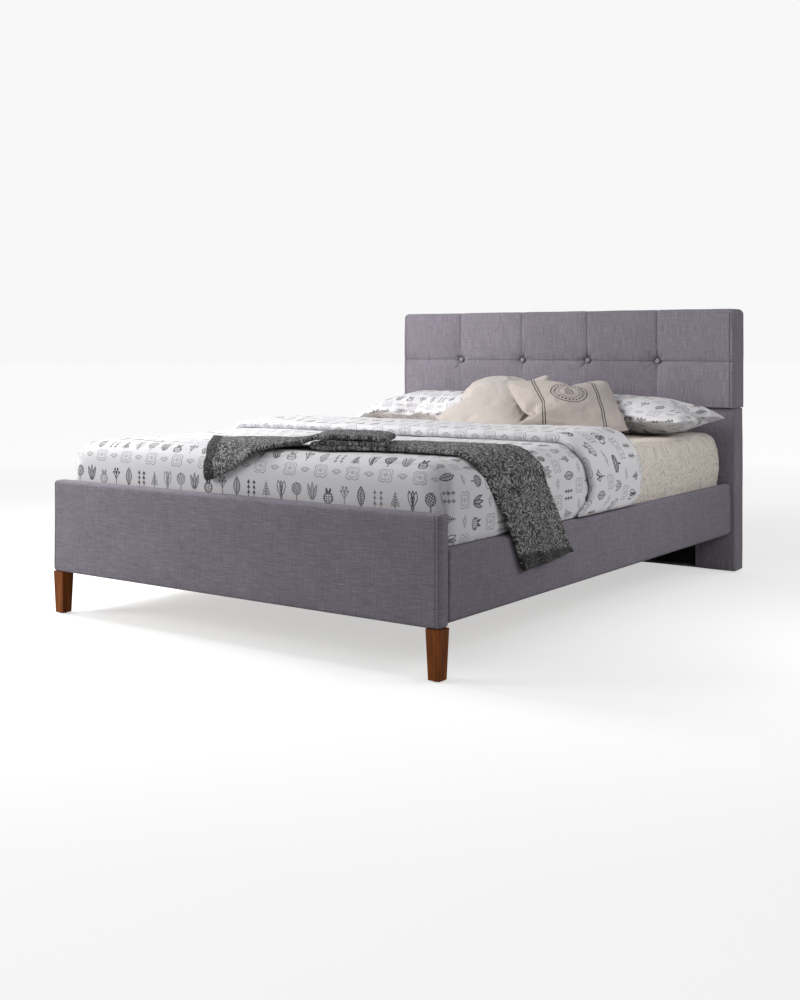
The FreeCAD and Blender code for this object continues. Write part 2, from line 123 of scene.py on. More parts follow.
# =====================================================================================================================
# mesh building
# =====================================================================================================================
def mesh_object(name, verts, faces, uv=None, attrs=None, smooth=True):
    """faces: list of arrays (n,4) or (n,3); uv: (loops, 2) in the order of the faces."""
    me = bpy.data.meshes.new(name)
    blocks = [np.asarray(f, np.int32) for f in (faces if isinstance(faces, list) else [faces])]
    loops = np.concatenate([b.ravel() for b in blocks])
    counts = np.concatenate([np.full(len(b), b.shape[1], np.int32) for b in blocks])
    starts = np.concatenate([[0], np.cumsum(counts)[:-1]]).astype(np.int32)
    me.vertices.add(len(verts))
    me.vertices.foreach_set("co", np.asarray(verts, np.float32).ravel())
    me.loops.add(len(loops))
    me.loops.foreach_set("vertex_index", loops)
    me.polygons.add(len(counts))
    me.polygons.foreach_set("loop_start", starts)
    me.polygons.foreach_set("loop_total", counts)
    me.polygons.foreach_set("use_smooth", np.full(len(counts), smooth, bool))
    if uv is not None:
        layer = me.uv_layers.new(name="UVMap")
        layer.data.foreach_set("uv", np.asarray(uv, np.float32).ravel())
    for key, val in (attrs or {}).items():
        at = me.attributes.new(key, "FLOAT", "POINT")
        at.data.foreach_set("value", np.asarray(val, np.float32))
    me.update(calc_edges=True)
    me.validate()
    ob = bpy.data.objects.new(name, me)
    scene.collection.objects.link(ob)
    return ob


def lines(a, b, step, fine=(), r=0.0, nr=5, rb=None):
    """Grid coordinates from a to b: about step apart, nr of them in each rounded edge, refined round each (centre, half width, step)."""
    xs = [a, b]
    rb = r if rb is None else rb
    if r > 0:
        xs += list(a + r * np.tan(np.linspace(0, math.pi / 4, nr + 1)))
    if rb > 0:
        xs += list(b - rb * np.tan(np.linspace(0, math.pi / 4, nr + 1)))
    inner = np.arange(a + r, b - rb, step)
    xs += list(np.linspace(a + r, b - rb, max(2, len(inner) + 1)))
    for c, hw, st in fine:
        xs = [x for x in xs if abs(x - c) > hw or x in (a, b)]
        xs += [x for x in np.arange(c - hw, c + hw + st / 2, st) if a < x < b]
    xs = sorted(xs)
    out = [xs[0]]
    for x in xs[1:]:
        if x - out[-1] > 0.0004:
            out.append(x)
    out[-1] = b
    return np.array(out)


def rbox(lo, hi, rad, xs, ys, zs, skip=(), rad_hi=None, vary=None):
    """A rounded box as quads. rad: edge radii along x, y, z at the low sides, rad_hi at the high ones; vary changes them point by point.
    Returns dict with p (box coordinates), v (rounded), n (normals), faces, uv."""
    lo, hi, rad = np.array(lo, float), np.array(hi, float), np.array(rad, float)
    rad_hi = rad if rad_hi is None else np.array(rad_hi, float)
    key, pts, quads, uvs = {}, [], [], []
    L = [xs, ys, zs]
    for axis in range(3):
        a1, a2 = [(1, 2), (2, 0), (0, 1)][axis]
        for side in (0, 1):
            if ("-x", "+x", "-y", "+y", "-z", "+z")[axis * 2 + side] in skip:
                continue
            A, B = L[a1], L[a2]
            n1, n2 = len(A), len(B)
            idx = np.zeros((n1, n2), np.int64)
            fixed = hi[axis] if side else lo[axis]
            for i in range(n1):
                for j in range(n2):
                    c = [0, 0, 0]
                    c[axis], c[a1], c[a2] = fixed, A[i], B[j]
                    k = (round(c[0] * 1e5), round(c[1] * 1e5), round(c[2] * 1e5))
                    if k not in key:
                        key[k] = len(pts)
                        pts.append(c)
                    idx[i, j] = key[k]
            q = np.stack([idx[:-1, :-1], idx[1:, :-1], idx[1:, 1:], idx[:-1, 1:]], -1).reshape(-1, 4)
            g1, g2 = np.meshgrid(A, B, indexing="ij")
            # uv in metres: fronts (x, z), sides (y, z), tops (x, y)
            if axis == 0:
                U, W = g1 * (1 if side else -1), g2
            elif axis == 1:
                U, W = g2, g1
            else:
                U, W = g1, g2
            uvp = np.stack([U, W], -1)
            uq = np.stack([uvp[:-1, :-1], uvp[1:, :-1], uvp[1:, 1:], uvp[:-1, 1:]], -2).reshape(-1, 4, 2)
            if not side:
                q, uq = q[:, ::-1], uq[:, ::-1]
            quads.append(q)
            uvs.append(uq)
    p = np.array(pts)
    rl, rh = np.tile(rad, (len(p), 1)), np.tile(rad_hi, (len(p), 1))
    if vary is not None:
        vary(p, rl, rh)
    q = np.clip(p, lo + rl, hi - rh)
    rr = np.where(p > (lo + hi) / 2, rh, rl)
    d = (p - q) / rr
    ln = np.linalg.norm(d, axis=1, keepdims=True)
    d = d / np.maximum(ln, 1e-9)
    v = q + d * rr
    n = d / rr
    n /= np.maximum(np.linalg.norm(n, axis=1, keepdims=True), 1e-9)
    return {"p": p, "v": v, "n": n, "faces": np.concatenate(quads), "uv": np.concatenate(uvs).reshape(-1, 2)}


def vertex_normals(v, faces):
    n = np.zeros_like(v)
    a, b, c, d = (v[faces[:, k]] for k in range(4))
    fn = np.cross(c - a, d - b)
    for k in range(4):
        np.add.at(n, faces[:, k], fn)
    return n / np.maximum(np.linalg.norm(n, axis=1, keepdims=True), 1e-12)


def thick(v, faces, uv, t_out, t_in, n=None):
    """Closed shell round an open quad surface: outer, inner and the strip that joins their borders."""
    n = vertex_normals(v, faces) if n is None else n
    vo, vi = v + n * np.reshape(t_out, (-1, 1)), v - n * np.reshape(t_in, (-1, 1))
    N = len(v)
    e = np.concatenate([faces[:, [k, (k + 1) % 4]] for k in range(4)])
    corner = np.concatenate([np.stack([np.arange(len(faces)) * 4 + k, np.arange(len(faces)) * 4 + (k + 1) % 4], 1) for k in range(4)])
    srt = np.sort(e, 1)
    code = srt[:, 0] * (N + 1) + srt[:, 1]
    uq, inv, cnt = np.unique(code, return_inverse=True, return_counts=True)
    border = cnt[inv] == 1
    be, bc = e[border], corner[border]
    rim = np.stack([be[:, 1], be[:, 0], be[:, 0] + N, be[:, 1] + N], 1)
    uvl = uv.reshape(-1, 2)
    rim_uv = np.stack([uvl[bc[:, 1]], uvl[bc[:, 0]], uvl[bc[:, 0]], uvl[bc[:, 1]]], 1).reshape(-1, 2)
    F = np.concatenate([faces, faces[:, ::-1] + N, rim])
    UV = np.concatenate([uvl, uvl.reshape(-1, 4, 2)[:, ::-1].reshape(-1, 2), rim_uv])
    return np.concatenate([vo, vi]), F, UV


def strip_tube(rings, closed=True, caps=True):
    """Quads joining equal rings of points (m rings x k points)."""
    m, k = rings.shape[:2]
    idx = np.arange(m * k).reshape(m, k)
    nxt = np.roll(idx, -1, 1) if closed else idx[:, 1:]
    cur = idx if closed else idx[:, :-1]
    q = np.stack([cur[:-1], nxt[:-1], nxt[1:], cur[1:]], -1).reshape(-1, 4)
    return idx, q


def subdivide(ob, levels=1):
    m = ob.modifiers.new("sub", "SUBSURF")
    m.levels = m.render_levels = levels
    m.subdivision_type = "CATMULL_CLARK"
    bake(ob)


def bake(ob):
    """Applies every modifier of ob."""
    dg = bpy.context.evaluated_depsgraph_get()
    dg.update()
    me = bpy.data.meshes.new_from_object(ob.evaluated_get(dg), preserve_all_data_layers=True, depsgraph=dg)
    ob.modifiers.clear()
    old = ob.data
    ob.data = me
    if old.users == 0:
        bpy.data.meshes.remove(old)


def coords(ob):
    co = np.zeros(len(ob.data.vertices) * 3, np.float32)
    ob.data.vertices.foreach_get("co", co)
    return co.reshape(-1, 3).astype(float)


def set_coords(ob, v):
    ob.data.vertices.foreach_set("co", np.asarray(v, np.float32).ravel())
    ob.data.update()


# =====================================================================================================================
# shader building: scalars as expressions
# =====================================================================================================================
class Tree:
    def __init__(self, nt):
        self.nt = nt

    def node(self, kind, **props):
        n = self.nt.nodes.new(kind)
        for k, v in props.items():
            setattr(n, k, v)
        return n

    def put(self, socket, value):
        if isinstance(value, S):
            value = value.s
        if isinstance(value, bpy.types.NodeSocket):
            self.nt.links.new(value, socket)
        else:
            socket.default_value = value

    def math(self, op, *a, clamp=False):
        n = self.node("ShaderNodeMath", operation=op, use_clamp=clamp)
        for i, x in enumerate(a):
            self.put(n.inputs[i], x)
        return S(self, n.outputs[0])

    def xyz(self, vec):
        n = self.node("ShaderNodeSeparateXYZ")
        self.put(n.inputs[0], vec)
        return [S(self, o) for o in n.outputs]

    def vec(self, x, y, z=0.0):
        n = self.node("ShaderNodeCombineXYZ")
        for i, c in enumerate((x, y, z)):
            self.put(n.inputs[i], c)
        return n.outputs[0]

    def noise(self, vec, scale=(1, 1, 1), detail=2.0, rough=0.5, dist=0.0):
        m = self.node("ShaderNodeVectorMath", operation="MULTIPLY")
        self.put(m.inputs[0], vec)
        m.inputs[1].default_value = scale
        n = self.node("ShaderNodeTexNoise")
        self.put(n.inputs["Vector"], m.outputs[0])
        n.inputs["Scale"].default_value = 1.0
        n.inputs["Detail"].default_value = detail
        n.inputs["Roughness"].default_value = rough
        n.inputs["Distortion"].default_value = dist
        return S(self, n.outputs[0])

    def white(self, vec):
        n = self.node("ShaderNodeTexWhiteNoise", noise_dimensions="2D")
        self.put(n.inputs["Vector"], vec)
        return S(self, n.outputs["Value"])

    def voronoi(self, vec, scale=(1, 1, 1), feature="F1", out="Distance", rand=1.0):
        m = self.node("ShaderNodeVectorMath", operation="MULTIPLY")
        self.put(m.inputs[0], vec)
        m.inputs[1].default_value = scale
        n = self.node("ShaderNodeTexVoronoi", feature=feature)
        self.put(n.inputs["Vector"], m.outputs[0])
        n.inputs["Scale"].default_value = 1.0
        n.inputs["Randomness"].default_value = rand
        return S(self, n.outputs[out])

    def mix(self, fac, a, b, mode="MIX"):
        n = self.node("ShaderNodeMix", data_type="RGBA", blend_type=mode)
        n.clamp_factor = True
        self.put(n.inputs[0], fac)
        self.put(n.inputs[6], a)
        self.put(n.inputs[7], b)
        return n.outputs[2]

    def ramp(self, fac, stops):
        n = self.node("ShaderNodeValToRGB")
        self.put(n.inputs[0], fac)
        cr = n.color_ramp
        while len(cr.elements) > 1:
            cr.elements.remove(cr.elements[-1])
        cr.elements[0].position, cr.elements[0].color = stops[0][0], stops[0][1]
        for pos, col in stops[1:]:
            el = cr.elements.new(pos)
            el.color = col
        return n.outputs[0]

    def bump(self, height, distance, strength=1.0, normal=None):
        n = self.node("ShaderNodeBump")
        n.inputs["Strength"].default_value = strength
        n.inputs["Distance"].default_value = distance
        self.put(n.inputs["Height"], height)
        if normal is not None:
            self.nt.links.new(normal, n.inputs["Normal"])
        return n.outputs[0]

    def attr(self, name):
        n = self.node("ShaderNodeAttribute", attribute_name=name, attribute_type="GEOMETRY")
        return S(self, n.outputs["Fac"])


class S:
    """A scalar in a shader tree."""

    def __init__(self, t, s):
        self.t, self.s = t, s

    def __add__(self, o):
        return self.t.math("ADD", self, o)

    __radd__ = __add__

    def __sub__(self, o):
        return self.t.math("SUBTRACT", self, o)

    def __rsub__(self, o):
        return self.t.math("SUBTRACT", o, self)

    def __mul__(self, o):
        return self.t.math("MULTIPLY", self, o)

    __rmul__ = __mul__

    def __truediv__(self, o):
        return self.t.math("DIVIDE", self, o)

    def __neg__(self):
        return self.t.math("MULTIPLY", self, -1.0)

    def __lt__(self, o):
        return self.t.math("LESS_THAN", self, o)

    def __gt__(self, o):
        return self.t.math("GREATER_THAN", self, o)

    def abs(self):
        return self.t.math("ABSOLUTE", self)

    def floor(self):
        return self.t.math("FLOOR", self)

    def sqrt(self):
        return self.t.math("SQRT", self)

    def sin(self):
        return self.t.math("SINE", self)

    def cos(self):
        return self.t.math("COSINE", self)

    def mod(self, m):
        return self.t.math("FLOORED_MODULO", self, m)

    def min(self, o):
        return self.t.math("MINIMUM", self, o)

    def max(self, o):
        return self.t.math("MAXIMUM", self, o)

    def clamp(self):
        return self.t.math("ADD", self, 0.0, clamp=True)

    def mad(self, a, b):
        return self.t.math("MULTIPLY_ADD", self, a, b)


def srgb(r, g, b, a=1.0):
    f = lambda c: (c / 255.0 / 12.92) if c / 255.0 <= 0.04045 else ((c / 255.0 + 0.055) / 1.055) ** 2.4
    return (f(r), f(g), f(b), a)


def new_mat(name, roughness=0.8, sheen=0.0, spec=0.5, sheen_rough=0.5, metallic=0.0, sheen_tint=None, subsurface=0.0, coat=0.0):
    m = bpy.data.materials.new(name)
    m.use_nodes = True
    nt = m.node_tree
    bs = nt.nodes["Principled BSDF"]
    bs.inputs["Roughness"].default_value = roughness
    bs.inputs["Specular IOR Level"].default_value = spec
    bs.inputs["Metallic"].default_value = metallic
    bs.inputs["Sheen Weight"].default_value = sheen
    bs.inputs["Sheen Roughness"].default_value = sheen_rough
    bs.inputs["Coat Weight"].default_value = coat
    if sheen_tint is not None:
        bs.inputs["Sheen Tint"].default_value = sheen_tint
    if subsurface:
        bs.inputs["Subsurface Weight"].default_value = subsurface
        bs.inputs["Subsurface Radius"].default_value = (0.01, 0.01, 0.01)
        bs.inputs["Subsurface Scale"].default_value = 0.5
    t = Tree(nt)
    return m, t, bs


def uv_of(t):
    return t.node("ShaderNodeTexCoord").outputs["UV"]


def obj_of(t):
    return t.node("ShaderNodeTexCoord").outputs["Object"]


# ---- upholstery: heathered linen-look weave ---------------------------------------------------------------------------
def mat_upholstery(name, base=(122, 118, 128), upright=1.0, level=1.0):
    """Heathered flat weave: light and dark slubs along both thread directions, drawn in the cloth's own coordinates."""
    m, t, bs = new_mat(name, roughness=0.9, sheen=0.12, spec=0.2, sheen_rough=0.45, sheen_tint=srgb(205, 198, 212))
    c = uv_of(t)
    warp = t.noise(c, (380, 17, 300), 3.0, 0.66)              # slubs along the upright threads
    weft = t.noise(c, (19, 370, 300), 3.0, 0.66)              # slubs along the level threads
    warp2 = t.noise(c, (95, 5, 90), 2.0, 0.5)
    weft2 = t.noise(c, (5, 90, 90), 2.0, 0.5)
    fine_a = t.noise(c, (1500, 110, 900), 1.0)
    fine_b = t.noise(c, (110, 1500, 900), 1.0)
    cloud = t.noise(c, (7, 6, 8), 2.0)
    h = (warp - 0.5) * (1.40 * upright) + (weft - 0.5) * (1.40 * level) + (warp2 - 0.5) * (0.30 * upright) + (weft2 - 0.5) * (0.28 * level)
    # the tone attribute adds each piece's own tone and painted light: painted shade along the headboard seams and
    # across the footboard, and a painted highlight on the buttons
    h = h + (fine_a - 0.5) * 0.6 + (fine_b - 0.5) * 0.6 + (cloud - 0.5) * 0.22 + t.attr("tone_and_painted_light")
    f = (h * 0.62 + 0.5).clamp()
    dark = srgb(base[0] * 0.60, base[1] * 0.58, base[2] * 0.62)
    light = srgb(min(255, base[0] * 1.38), min(255, base[1] * 1.39), min(255, base[2] * 1.36))
    col = t.ramp(f, [(0.0, dark), (0.5, srgb(*base)), (1.0, light)])
    warm = t.noise(c, (130, 130, 130), 2.0)
    col = t.mix((warm - 0.42) * 1.1, col, srgb(base[0] * 1.05, base[1] * 0.95, base[2] * 0.93))
    t.put(bs.inputs["Base Color"], col)
    x, y, z = t.xyz(c)
    weave = ((x * 3900.0).sin() * 0.5 + 0.5) * ((y * 3900.0).sin() * 0.5 + 0.5)
    height = weave * 0.35 + warp * (0.9 * upright) + weft * (0.9 * level) + (fine_a + fine_b) * 0.35
    t.put(bs.inputs["Normal"], t.bump(height, 0.0012, 0.75))
    return m


# ---- black non-woven lining -------------------------------------------------------------------------------------------
def mat_lining():
    m, t, bs = new_mat("lining_black", roughness=0.92, spec=0.25, sheen=0.1)
    c = obj_of(t)
    n = t.noise(c, (900, 900, 900), 2.0)
    dots = t.voronoi(c, (420, 420, 420), rand=0.15)
    col = t.ramp(n, [(0.3, srgb(17, 17, 18)), (0.7, srgb(33, 33, 35))])
    t.put(bs.inputs["Base Color"], col)
    t.put(bs.inputs["Normal"], t.bump(dots * 0.6 + n * 0.4 + t.noise(c, (14, 14, 14), 2.0) * 6.0, 0.0012, 0.6))
    return m


# ---- woods ------------------------------------------------------------------------------------------------------------
def mat_wood(name, dark, light, axis, scale=1.0, roughness=0.5, coat=0.0, knots=0.0, gloss=0.5):
    m, t, bs = new_mat(name, roughness=roughness, spec=gloss, coat=coat)
    c = obj_of(t)
    along, across = 2.2 * scale, 34.0 * scale
    s = [across] * 3
    s[axis] = along
    warpn = t.noise(c, tuple(v * 0.5 for v in s), 2.0)
    m2 = t.node("ShaderNodeVectorMath", operation="ADD")
    t.put(m2.inputs[0], c)
    t.put(m2.inputs[1], t.vec(warpn * 0.012, warpn * 0.012, warpn * 0.012))
    rings = t.noise(m2.outputs[0], tuple(v * 1.6 for v in s), 5.0, 0.6, 0.6)
    fs = [900 * scale] * 3
    fs[axis] = 26 * scale
    fibre = t.noise(c, tuple(fs), 2.0)
    f = (rings * 0.75 + fibre * 0.35 - 0.05).clamp()
    mid = tuple((a + b) / 2 for a, b in zip(dark, light))
    col = t.ramp(f, [(0.28, srgb(*dark)), (0.5, srgb(*mid)), (0.72, srgb(*light))])
    if knots:
        k = t.voronoi(c, tuple((2.0 if i == axis else 7.0) for i in range(3)))
        col = t.mix(((0.16 - k) * 9.0).clamp() * knots, col, srgb(dark[0] * 0.5, dark[1] * 0.45, dark[2] * 0.4))
    t.put(bs.inputs["Base Color"], col)
    t.put(bs.inputs["Roughness"], fibre * 0.18 + (roughness - 0.09))
    t.put(bs.inputs["Normal"], t.bump(fibre * 0.7 + rings * 0.5, 0.0005, 0.5))
    return m


# ---- metals and plastics ------------------------------------------------------------------------------------------------
def mat_metal(name, col, rough, scratch=0.12):
    m, t, bs = new_mat(name, roughness=rough, metallic=1.0)
    c = obj_of(t)
    n = t.noise(c, (700, 700, 90), 3.0)
    n2 = t.noise(c, (60, 60, 60), 3.0)
    t.put(bs.inputs["Base Color"], t.ramp(n2, [(0.3, srgb(*[v * 0.86 for v in col])), (0.7, srgb(*col))]))
    t.put(bs.inputs["Roughness"], (n * scratch + n2 * 0.15 + rough - 0.12).clamp())
    t.put(bs.inputs["Normal"], t.bump(n, 0.0002, 0.4))
    return m


def mat_paint(name, col, rough=0.42):
    m, t, bs = new_mat(name, roughness=rough, spec=0.5)
    c = obj_of(t)
    peel = t.noise(c, (420, 420, 420), 2.0)
    worn = t.noise(c, (70, 70, 70), 4.0, 0.7)
    t.put(bs.inputs["Base Color"], t.ramp(worn, [(0.25, srgb(*[v * 0.8 for v in col])), (0.75, srgb(*[min(255, v * 1.25 + 4) for v in col]))]))
    t.put(bs.inputs["Roughness"], worn * 0.2 + (rough - 0.08))
    t.put(bs.inputs["Normal"], t.bump(peel, 0.0003, 0.5))
    return m


# ---- plain cottons and canvas -------------------------------------------------------------------------------------------
def add_weave(t, c, pitch, depth, strength, slub=1.0, extra=None):
    x, y, z = t.xyz(c)
    k = 2 * math.pi / pitch
    w = (x * k).sin() * (y * k).sin()
    n1 = t.noise(c, (1.2 / pitch, 0.05 / pitch, 1), 2.0)
    n2 = t.noise(c, (0.05 / pitch, 1.2 / pitch, 1), 2.0)
    h = w * 0.35 + (n1 + n2) * slub
    if extra is not None:
        h = h + extra
    return t.bump(h, depth, strength), n1, n2


def mat_cream(name, base=(222, 214, 206), canvas=False):
    m, t, bs = new_mat(name, roughness=0.9, sheen=0.15, spec=0.25, sheen_rough=0.4)
    c = uv_of(t)
    nrm, n1, n2 = add_weave(t, c, 0.0016 if canvas else 0.0009, 0.0006, 0.7, extra=t.noise(c, (22, 22, 1), 3.0) * 1.2)
    f = (n1 * 0.5 + n2 * 0.5 + (t.noise(c, (6, 6, 1), 2.0) - 0.5) * 0.35).clamp()
    col = t.ramp(f, [(0.25, srgb(*[v * 0.925 for v in base])), (0.5, srgb(*base)), (0.8, srgb(*[min(255, v * 1.04) for v in base]))])
    if canvas:
        # two pairs of woven stripes and a round sprig mark, drawn in the cushion's own cloth coordinates
        x, y, z = t.xyz(c)
        wob = (t.noise(c, (60, 60, 1), 2.0) - 0.5) * 0.0012
        sx = (x.abs() + wob - 0.119).abs()
        pair = ((sx - 0.0046).abs() < 0.0024)
        yy = y - 0.018
        r = (x * x + yy * yy).sqrt() + wob
        ring = ((r - 0.074).abs() < 0.0024).max(((r - 0.043).abs() < 0.0015))
        ang = t.math("ARCTAN2", yy, x)
        beads = ((ang * (12 / math.pi)).mod(1.0) - 0.5).abs() < 0.27
        beads = beads * ((r - 0.0585).abs() < 0.0062)
        ax = x.abs()
        stem = (ax < 0.0014) * (yy.abs() < 0.030)
        ly = (yy + 0.03 - ax * 0.75).mod(0.013) - 0.0065
        leaf = (ly.abs() < ((0.0046 - (ax - 0.011).abs() * 0.42))) * (ax < 0.021) * (yy < 0.024) * (yy > -0.024) * (ax > 0.0022)
        tip = ((ax * 2.1 + (yy - 0.029).abs()) < 0.0085)
        ink = pair.max(ring).max(beads).max(stem).max(leaf).max(tip)
        fade = (t.noise(c, (700, 700, 1), 2.0) * 0.5 + 0.62).clamp()
        up = t.attr("face")
        col = t.mix(ink * fade * up, col, srgb(58, 55, 56))
    t.put(bs.inputs["Base Color"], col)
    t.put(bs.inputs["Normal"], nrm)
    return m


# ---- printed cotton: rows of small plants and outlined flower heads -----------------------------------------------------
def seg(x, y, ax, ay, bx, by):
    bax, bay = bx - ax, by - ay
    px, py = x - ax, y - ay
    h = (px * bax + py * bay) * (1.0 / (bax * bax + bay * bay))
    h = h.clamp()
    dx, dy = px - h * bax, py - h * bay
    return (dx * dx + dy * dy).sqrt()


def leaf(x, y, cx, cy, ang, length, width):
    """0 on the outline of a pointed leaf, negative inside; about millimetres."""
    c, s = math.cos(math.radians(ang)), math.sin(math.radians(ang))
    dx, dy = x - cx, y - cy
    u = dx * c + dy * s
    v = (dy * c - dx * s) * (1.0 / length)
    return u.abs() + v * v * width - width


def print_group():
    """Node group: cloth coordinates in metres in, ink of the dark and of the light motifs out."""
    g = bpy.data.node_groups.new("plant_print", "ShaderNodeTree")
    g.interface.new_socket(name="Vector", in_out="INPUT", socket_type="NodeSocketVector")
    g.interface.new_socket(name="Dark", in_out="OUTPUT", socket_type="NodeSocketFloat")
    g.interface.new_socket(name="Light", in_out="OUTPUT", socket_type="NodeSocketFloat")
    t = Tree(g)
    gi, go = t.node("NodeGroupInput"), t.node("NodeGroupOutput")
    wobx = (t.noise(gi.outputs[0], (90, 90, 1), 1.0) - 0.5) * 3.6
    woby = (t.noise(gi.outputs[0], (83, 97, 5), 1.0) - 0.5) * 3.6
    u, v, _ = t.xyz(gi.outputs[0])
    U, V = u * 1000.0, v * 1000.0
    P = 134.0                                   # one row of plants and one of flowers
    row = (V * (1 / P)).floor()
    vy = V - row * P - 33.0
    shift = (row * 0.6180).mod(1.0) * 57.0
    CW = 60.0
    ui = ((U + shift) * (1 / CW)).floor()
    K = 1.17                                    # the motifs are drawn 65 high and set smaller
    x = ((U + shift) - ui * CW - CW / 2 + wobx) * K
    y = (vy + woby) * K
    kind = (ui + row * 3.0).mod(8.0)
    ax = x.abs()
    w = 1.9
    shapes = []
    # 0 tulip in a pot
    a, b = leaf(ax, y, 9.5, 6.0, -13, 25, 8.0), leaf(x, y, 0, 8.0, 0, 23, 6.5)
    pot = (ax < ((y + 34.0) * 0.18 + 5.0)) * (y < -17.0) * (y > -34.0)
    shapes.append((a.abs().min(b.abs()) < w).max((b < 0.0) * 0.35).max(pot * 0.75))
    # 1 round tree
    r = (x * x + (y - 8.0) * (y - 8.0)).sqrt()
    leaves = ((x * 0.50 + y * 0.20).sin() * (y * 0.46 - x * 0.18).sin()) > -0.22
    shapes.append((((r - 20.5).abs() < w).max((r < 20.5) * leaves)).max((ax < 2.2) * (y < -11.0) * (y > -34.0)))
    # 2 tall leaves
    a, b = leaf(ax, y, 12.5, 1.0, -15, 26, 5.5), leaf(x, y, 0, 4.0, 0, 29, 6.0)
    a = (a.abs() < w).max((a < 0.0) * (((y + ax) * 0.16).mod(1.0) < 0.5)).max(b.abs() < w).max((b < 0.0) * 0.45)
    shapes.append(a)
    # 3 low bush
    e = ((x * x) * (1 / 19.0 ** 2) + (y + 15.0) * (y + 15.0) * (1 / 18.0 ** 2)).sqrt()
    dots = (((x * 0.14 + 0.5).mod(1.0) - 0.5) * 7.1)
    doty = (((y * 0.14).mod(1.0) - 0.5) * 7.1)
    a = ((e - 1.0).abs() < 0.11).max((e < 0.9) * ((dots * dots + doty * doty) < 6.5)).max(leaf(ax, y, 7.0, 9.0, -24, 12, 4.2) < 0.6)
    shapes.append(a * (y > -34.0))
    # 4 berry sprig
    d = seg(ax, y, 0.0, -33.0, 0.0, 8.0).min(seg(ax, y, 0.0, -14.0, 13.0, 8.0)).min(seg(ax, y, 0.0, -2.0, 6.5, 20.0))
    bd = ((ax - 14.5) * (ax - 14.5) + (y - 12.0) * (y - 12.0)).sqrt().min(((ax - 7.5) * (ax - 7.5) + (y - 24.0) * (y - 24.0)).sqrt()).min((ax * ax + (y - 12.0) * (y - 12.0)).sqrt())
    shapes.append((d < 1.7).max(bd < 5.2))
    # 5 striped leaf
    a = leaf(x, y, 0, 0.0, 0, 33, 14.5)
    shapes.append((a.abs() < w).max((a < 0.0) * (((y + ax * 0.8) * (1 / 7.4)).mod(1.0) < 0.46)).max((a < 0.0) * (ax < 1.4)))
    # 6 two arrow stems
    xx = (ax - 13.0).abs()
    yy = (y + 8.0).mod(18.0)
    tri = (xx < ((17.0 - yy) * 0.62)) * (yy > 3.5) * (y > -26.0) * (y < 28.0)
    shapes.append(((xx < 1.6) * (y > -34.0) * (y < 22.0)).max(tri))
    # 7 fern
    lim = (27.0 - y) * 0.40
    yy = ((y - ax * 0.7) * (1 / 9.5)).mod(1.0)
    a = ((yy - 0.5).abs() < 0.29) * (ax < lim.min(18.0)) * (y < 29.0) * (y > -24.0)
    shapes.append(a.max((ax < 1.5) * (y > -34.0) * (y < 26.0)))
    dark = None
    for k, s in enumerate(shapes):
        pick = ((kind - float(k)).abs() < 0.5) * s
        dark = pick if dark is None else dark.max(pick)
    strength = t.white(t.vec(ui, row)) * 0.42 + 0.66
    dark = dark * strength.min(1.0)
    # flower heads and the small sprigs between them
    FW = 118.0
    fu = U + (row * 0.37).mod(1.0) * FW
    fi = (fu * (1 / FW)).floor()
    fx = fu - fi * FW - FW / 2 + wobx * 1.3
    fy = vy - 68.0 + woby * 1.3
    rr = (fx * fx + fy * fy).sqrt()
    th = t.math("ARCTAN2", fy, fx)
    R = (th * 2.0).sin().abs() * 8.5 + 18.5
    outer = (rr - R).abs() < 1.45
    inner = (rr - R * 0.66).abs() < 1.25
    core = (rr - 5.6).abs() < 1.3
    fl = outer.max(inner).max(core).max(rr < 2.2)
    sx = (fu + FW / 2)
    sx = sx - (sx * (1 / FW)).floor() * FW - FW / 2 + wobx
    sp = leaf(sx.abs(), fy, 9.0, 1.5, 62, 8.5, 3.0).abs().min(leaf(sx.abs(), fy, 5.0, -6.0, 120, 5.5, 2.2).abs()) < 1.3
    light = fl.max(sp)
    ink = (t.noise(gi.outputs[0], (300, 300, 1), 2.0) * 0.9 + 0.55).clamp()
    t.put(go.inputs["Dark"], dark * ink)
    t.put(go.inputs["Light"], light * ink)
    return g


PRINT = print_group()


def mat_print(name, base=(212, 211, 214), shift=(0.0, 0.0)):
    m, t, bs = new_mat(name, roughness=0.86, sheen=0.12, spec=0.25, sheen_rough=0.4)
    c = uv_of(t)
    g = t.node("ShaderNodeGroup")
    g.node_tree = PRINT
    mv = t.node("ShaderNodeVectorMath", operation="ADD")
    t.put(mv.inputs[0], c)
    mv.inputs[1].default_value = (shift[0], shift[1], 0.0)
    t.put(g.inputs[0], mv.outputs[0])
    nrm, n1, n2 = add_weave(t, c, 0.0007, 0.0004, 0.5, slub=0.6, extra=t.noise(c, (16, 16, 1), 3.0) * 2.2)
    col = t.ramp((n1 + n2) * 0.5, [(0.2, srgb(*[v * 0.975 for v in base])), (0.8, srgb(*base))])
    col = t.mix(S(t, g.outputs["Light"]) * 0.72, col, srgb(118, 116, 126))
    col = t.mix(S(t, g.outputs["Dark"]) * 0.95, col, srgb(38, 36, 42))
    t.put(bs.inputs["Base Color"], col)
    t.put(bs.inputs["Normal"], nrm)
    return m


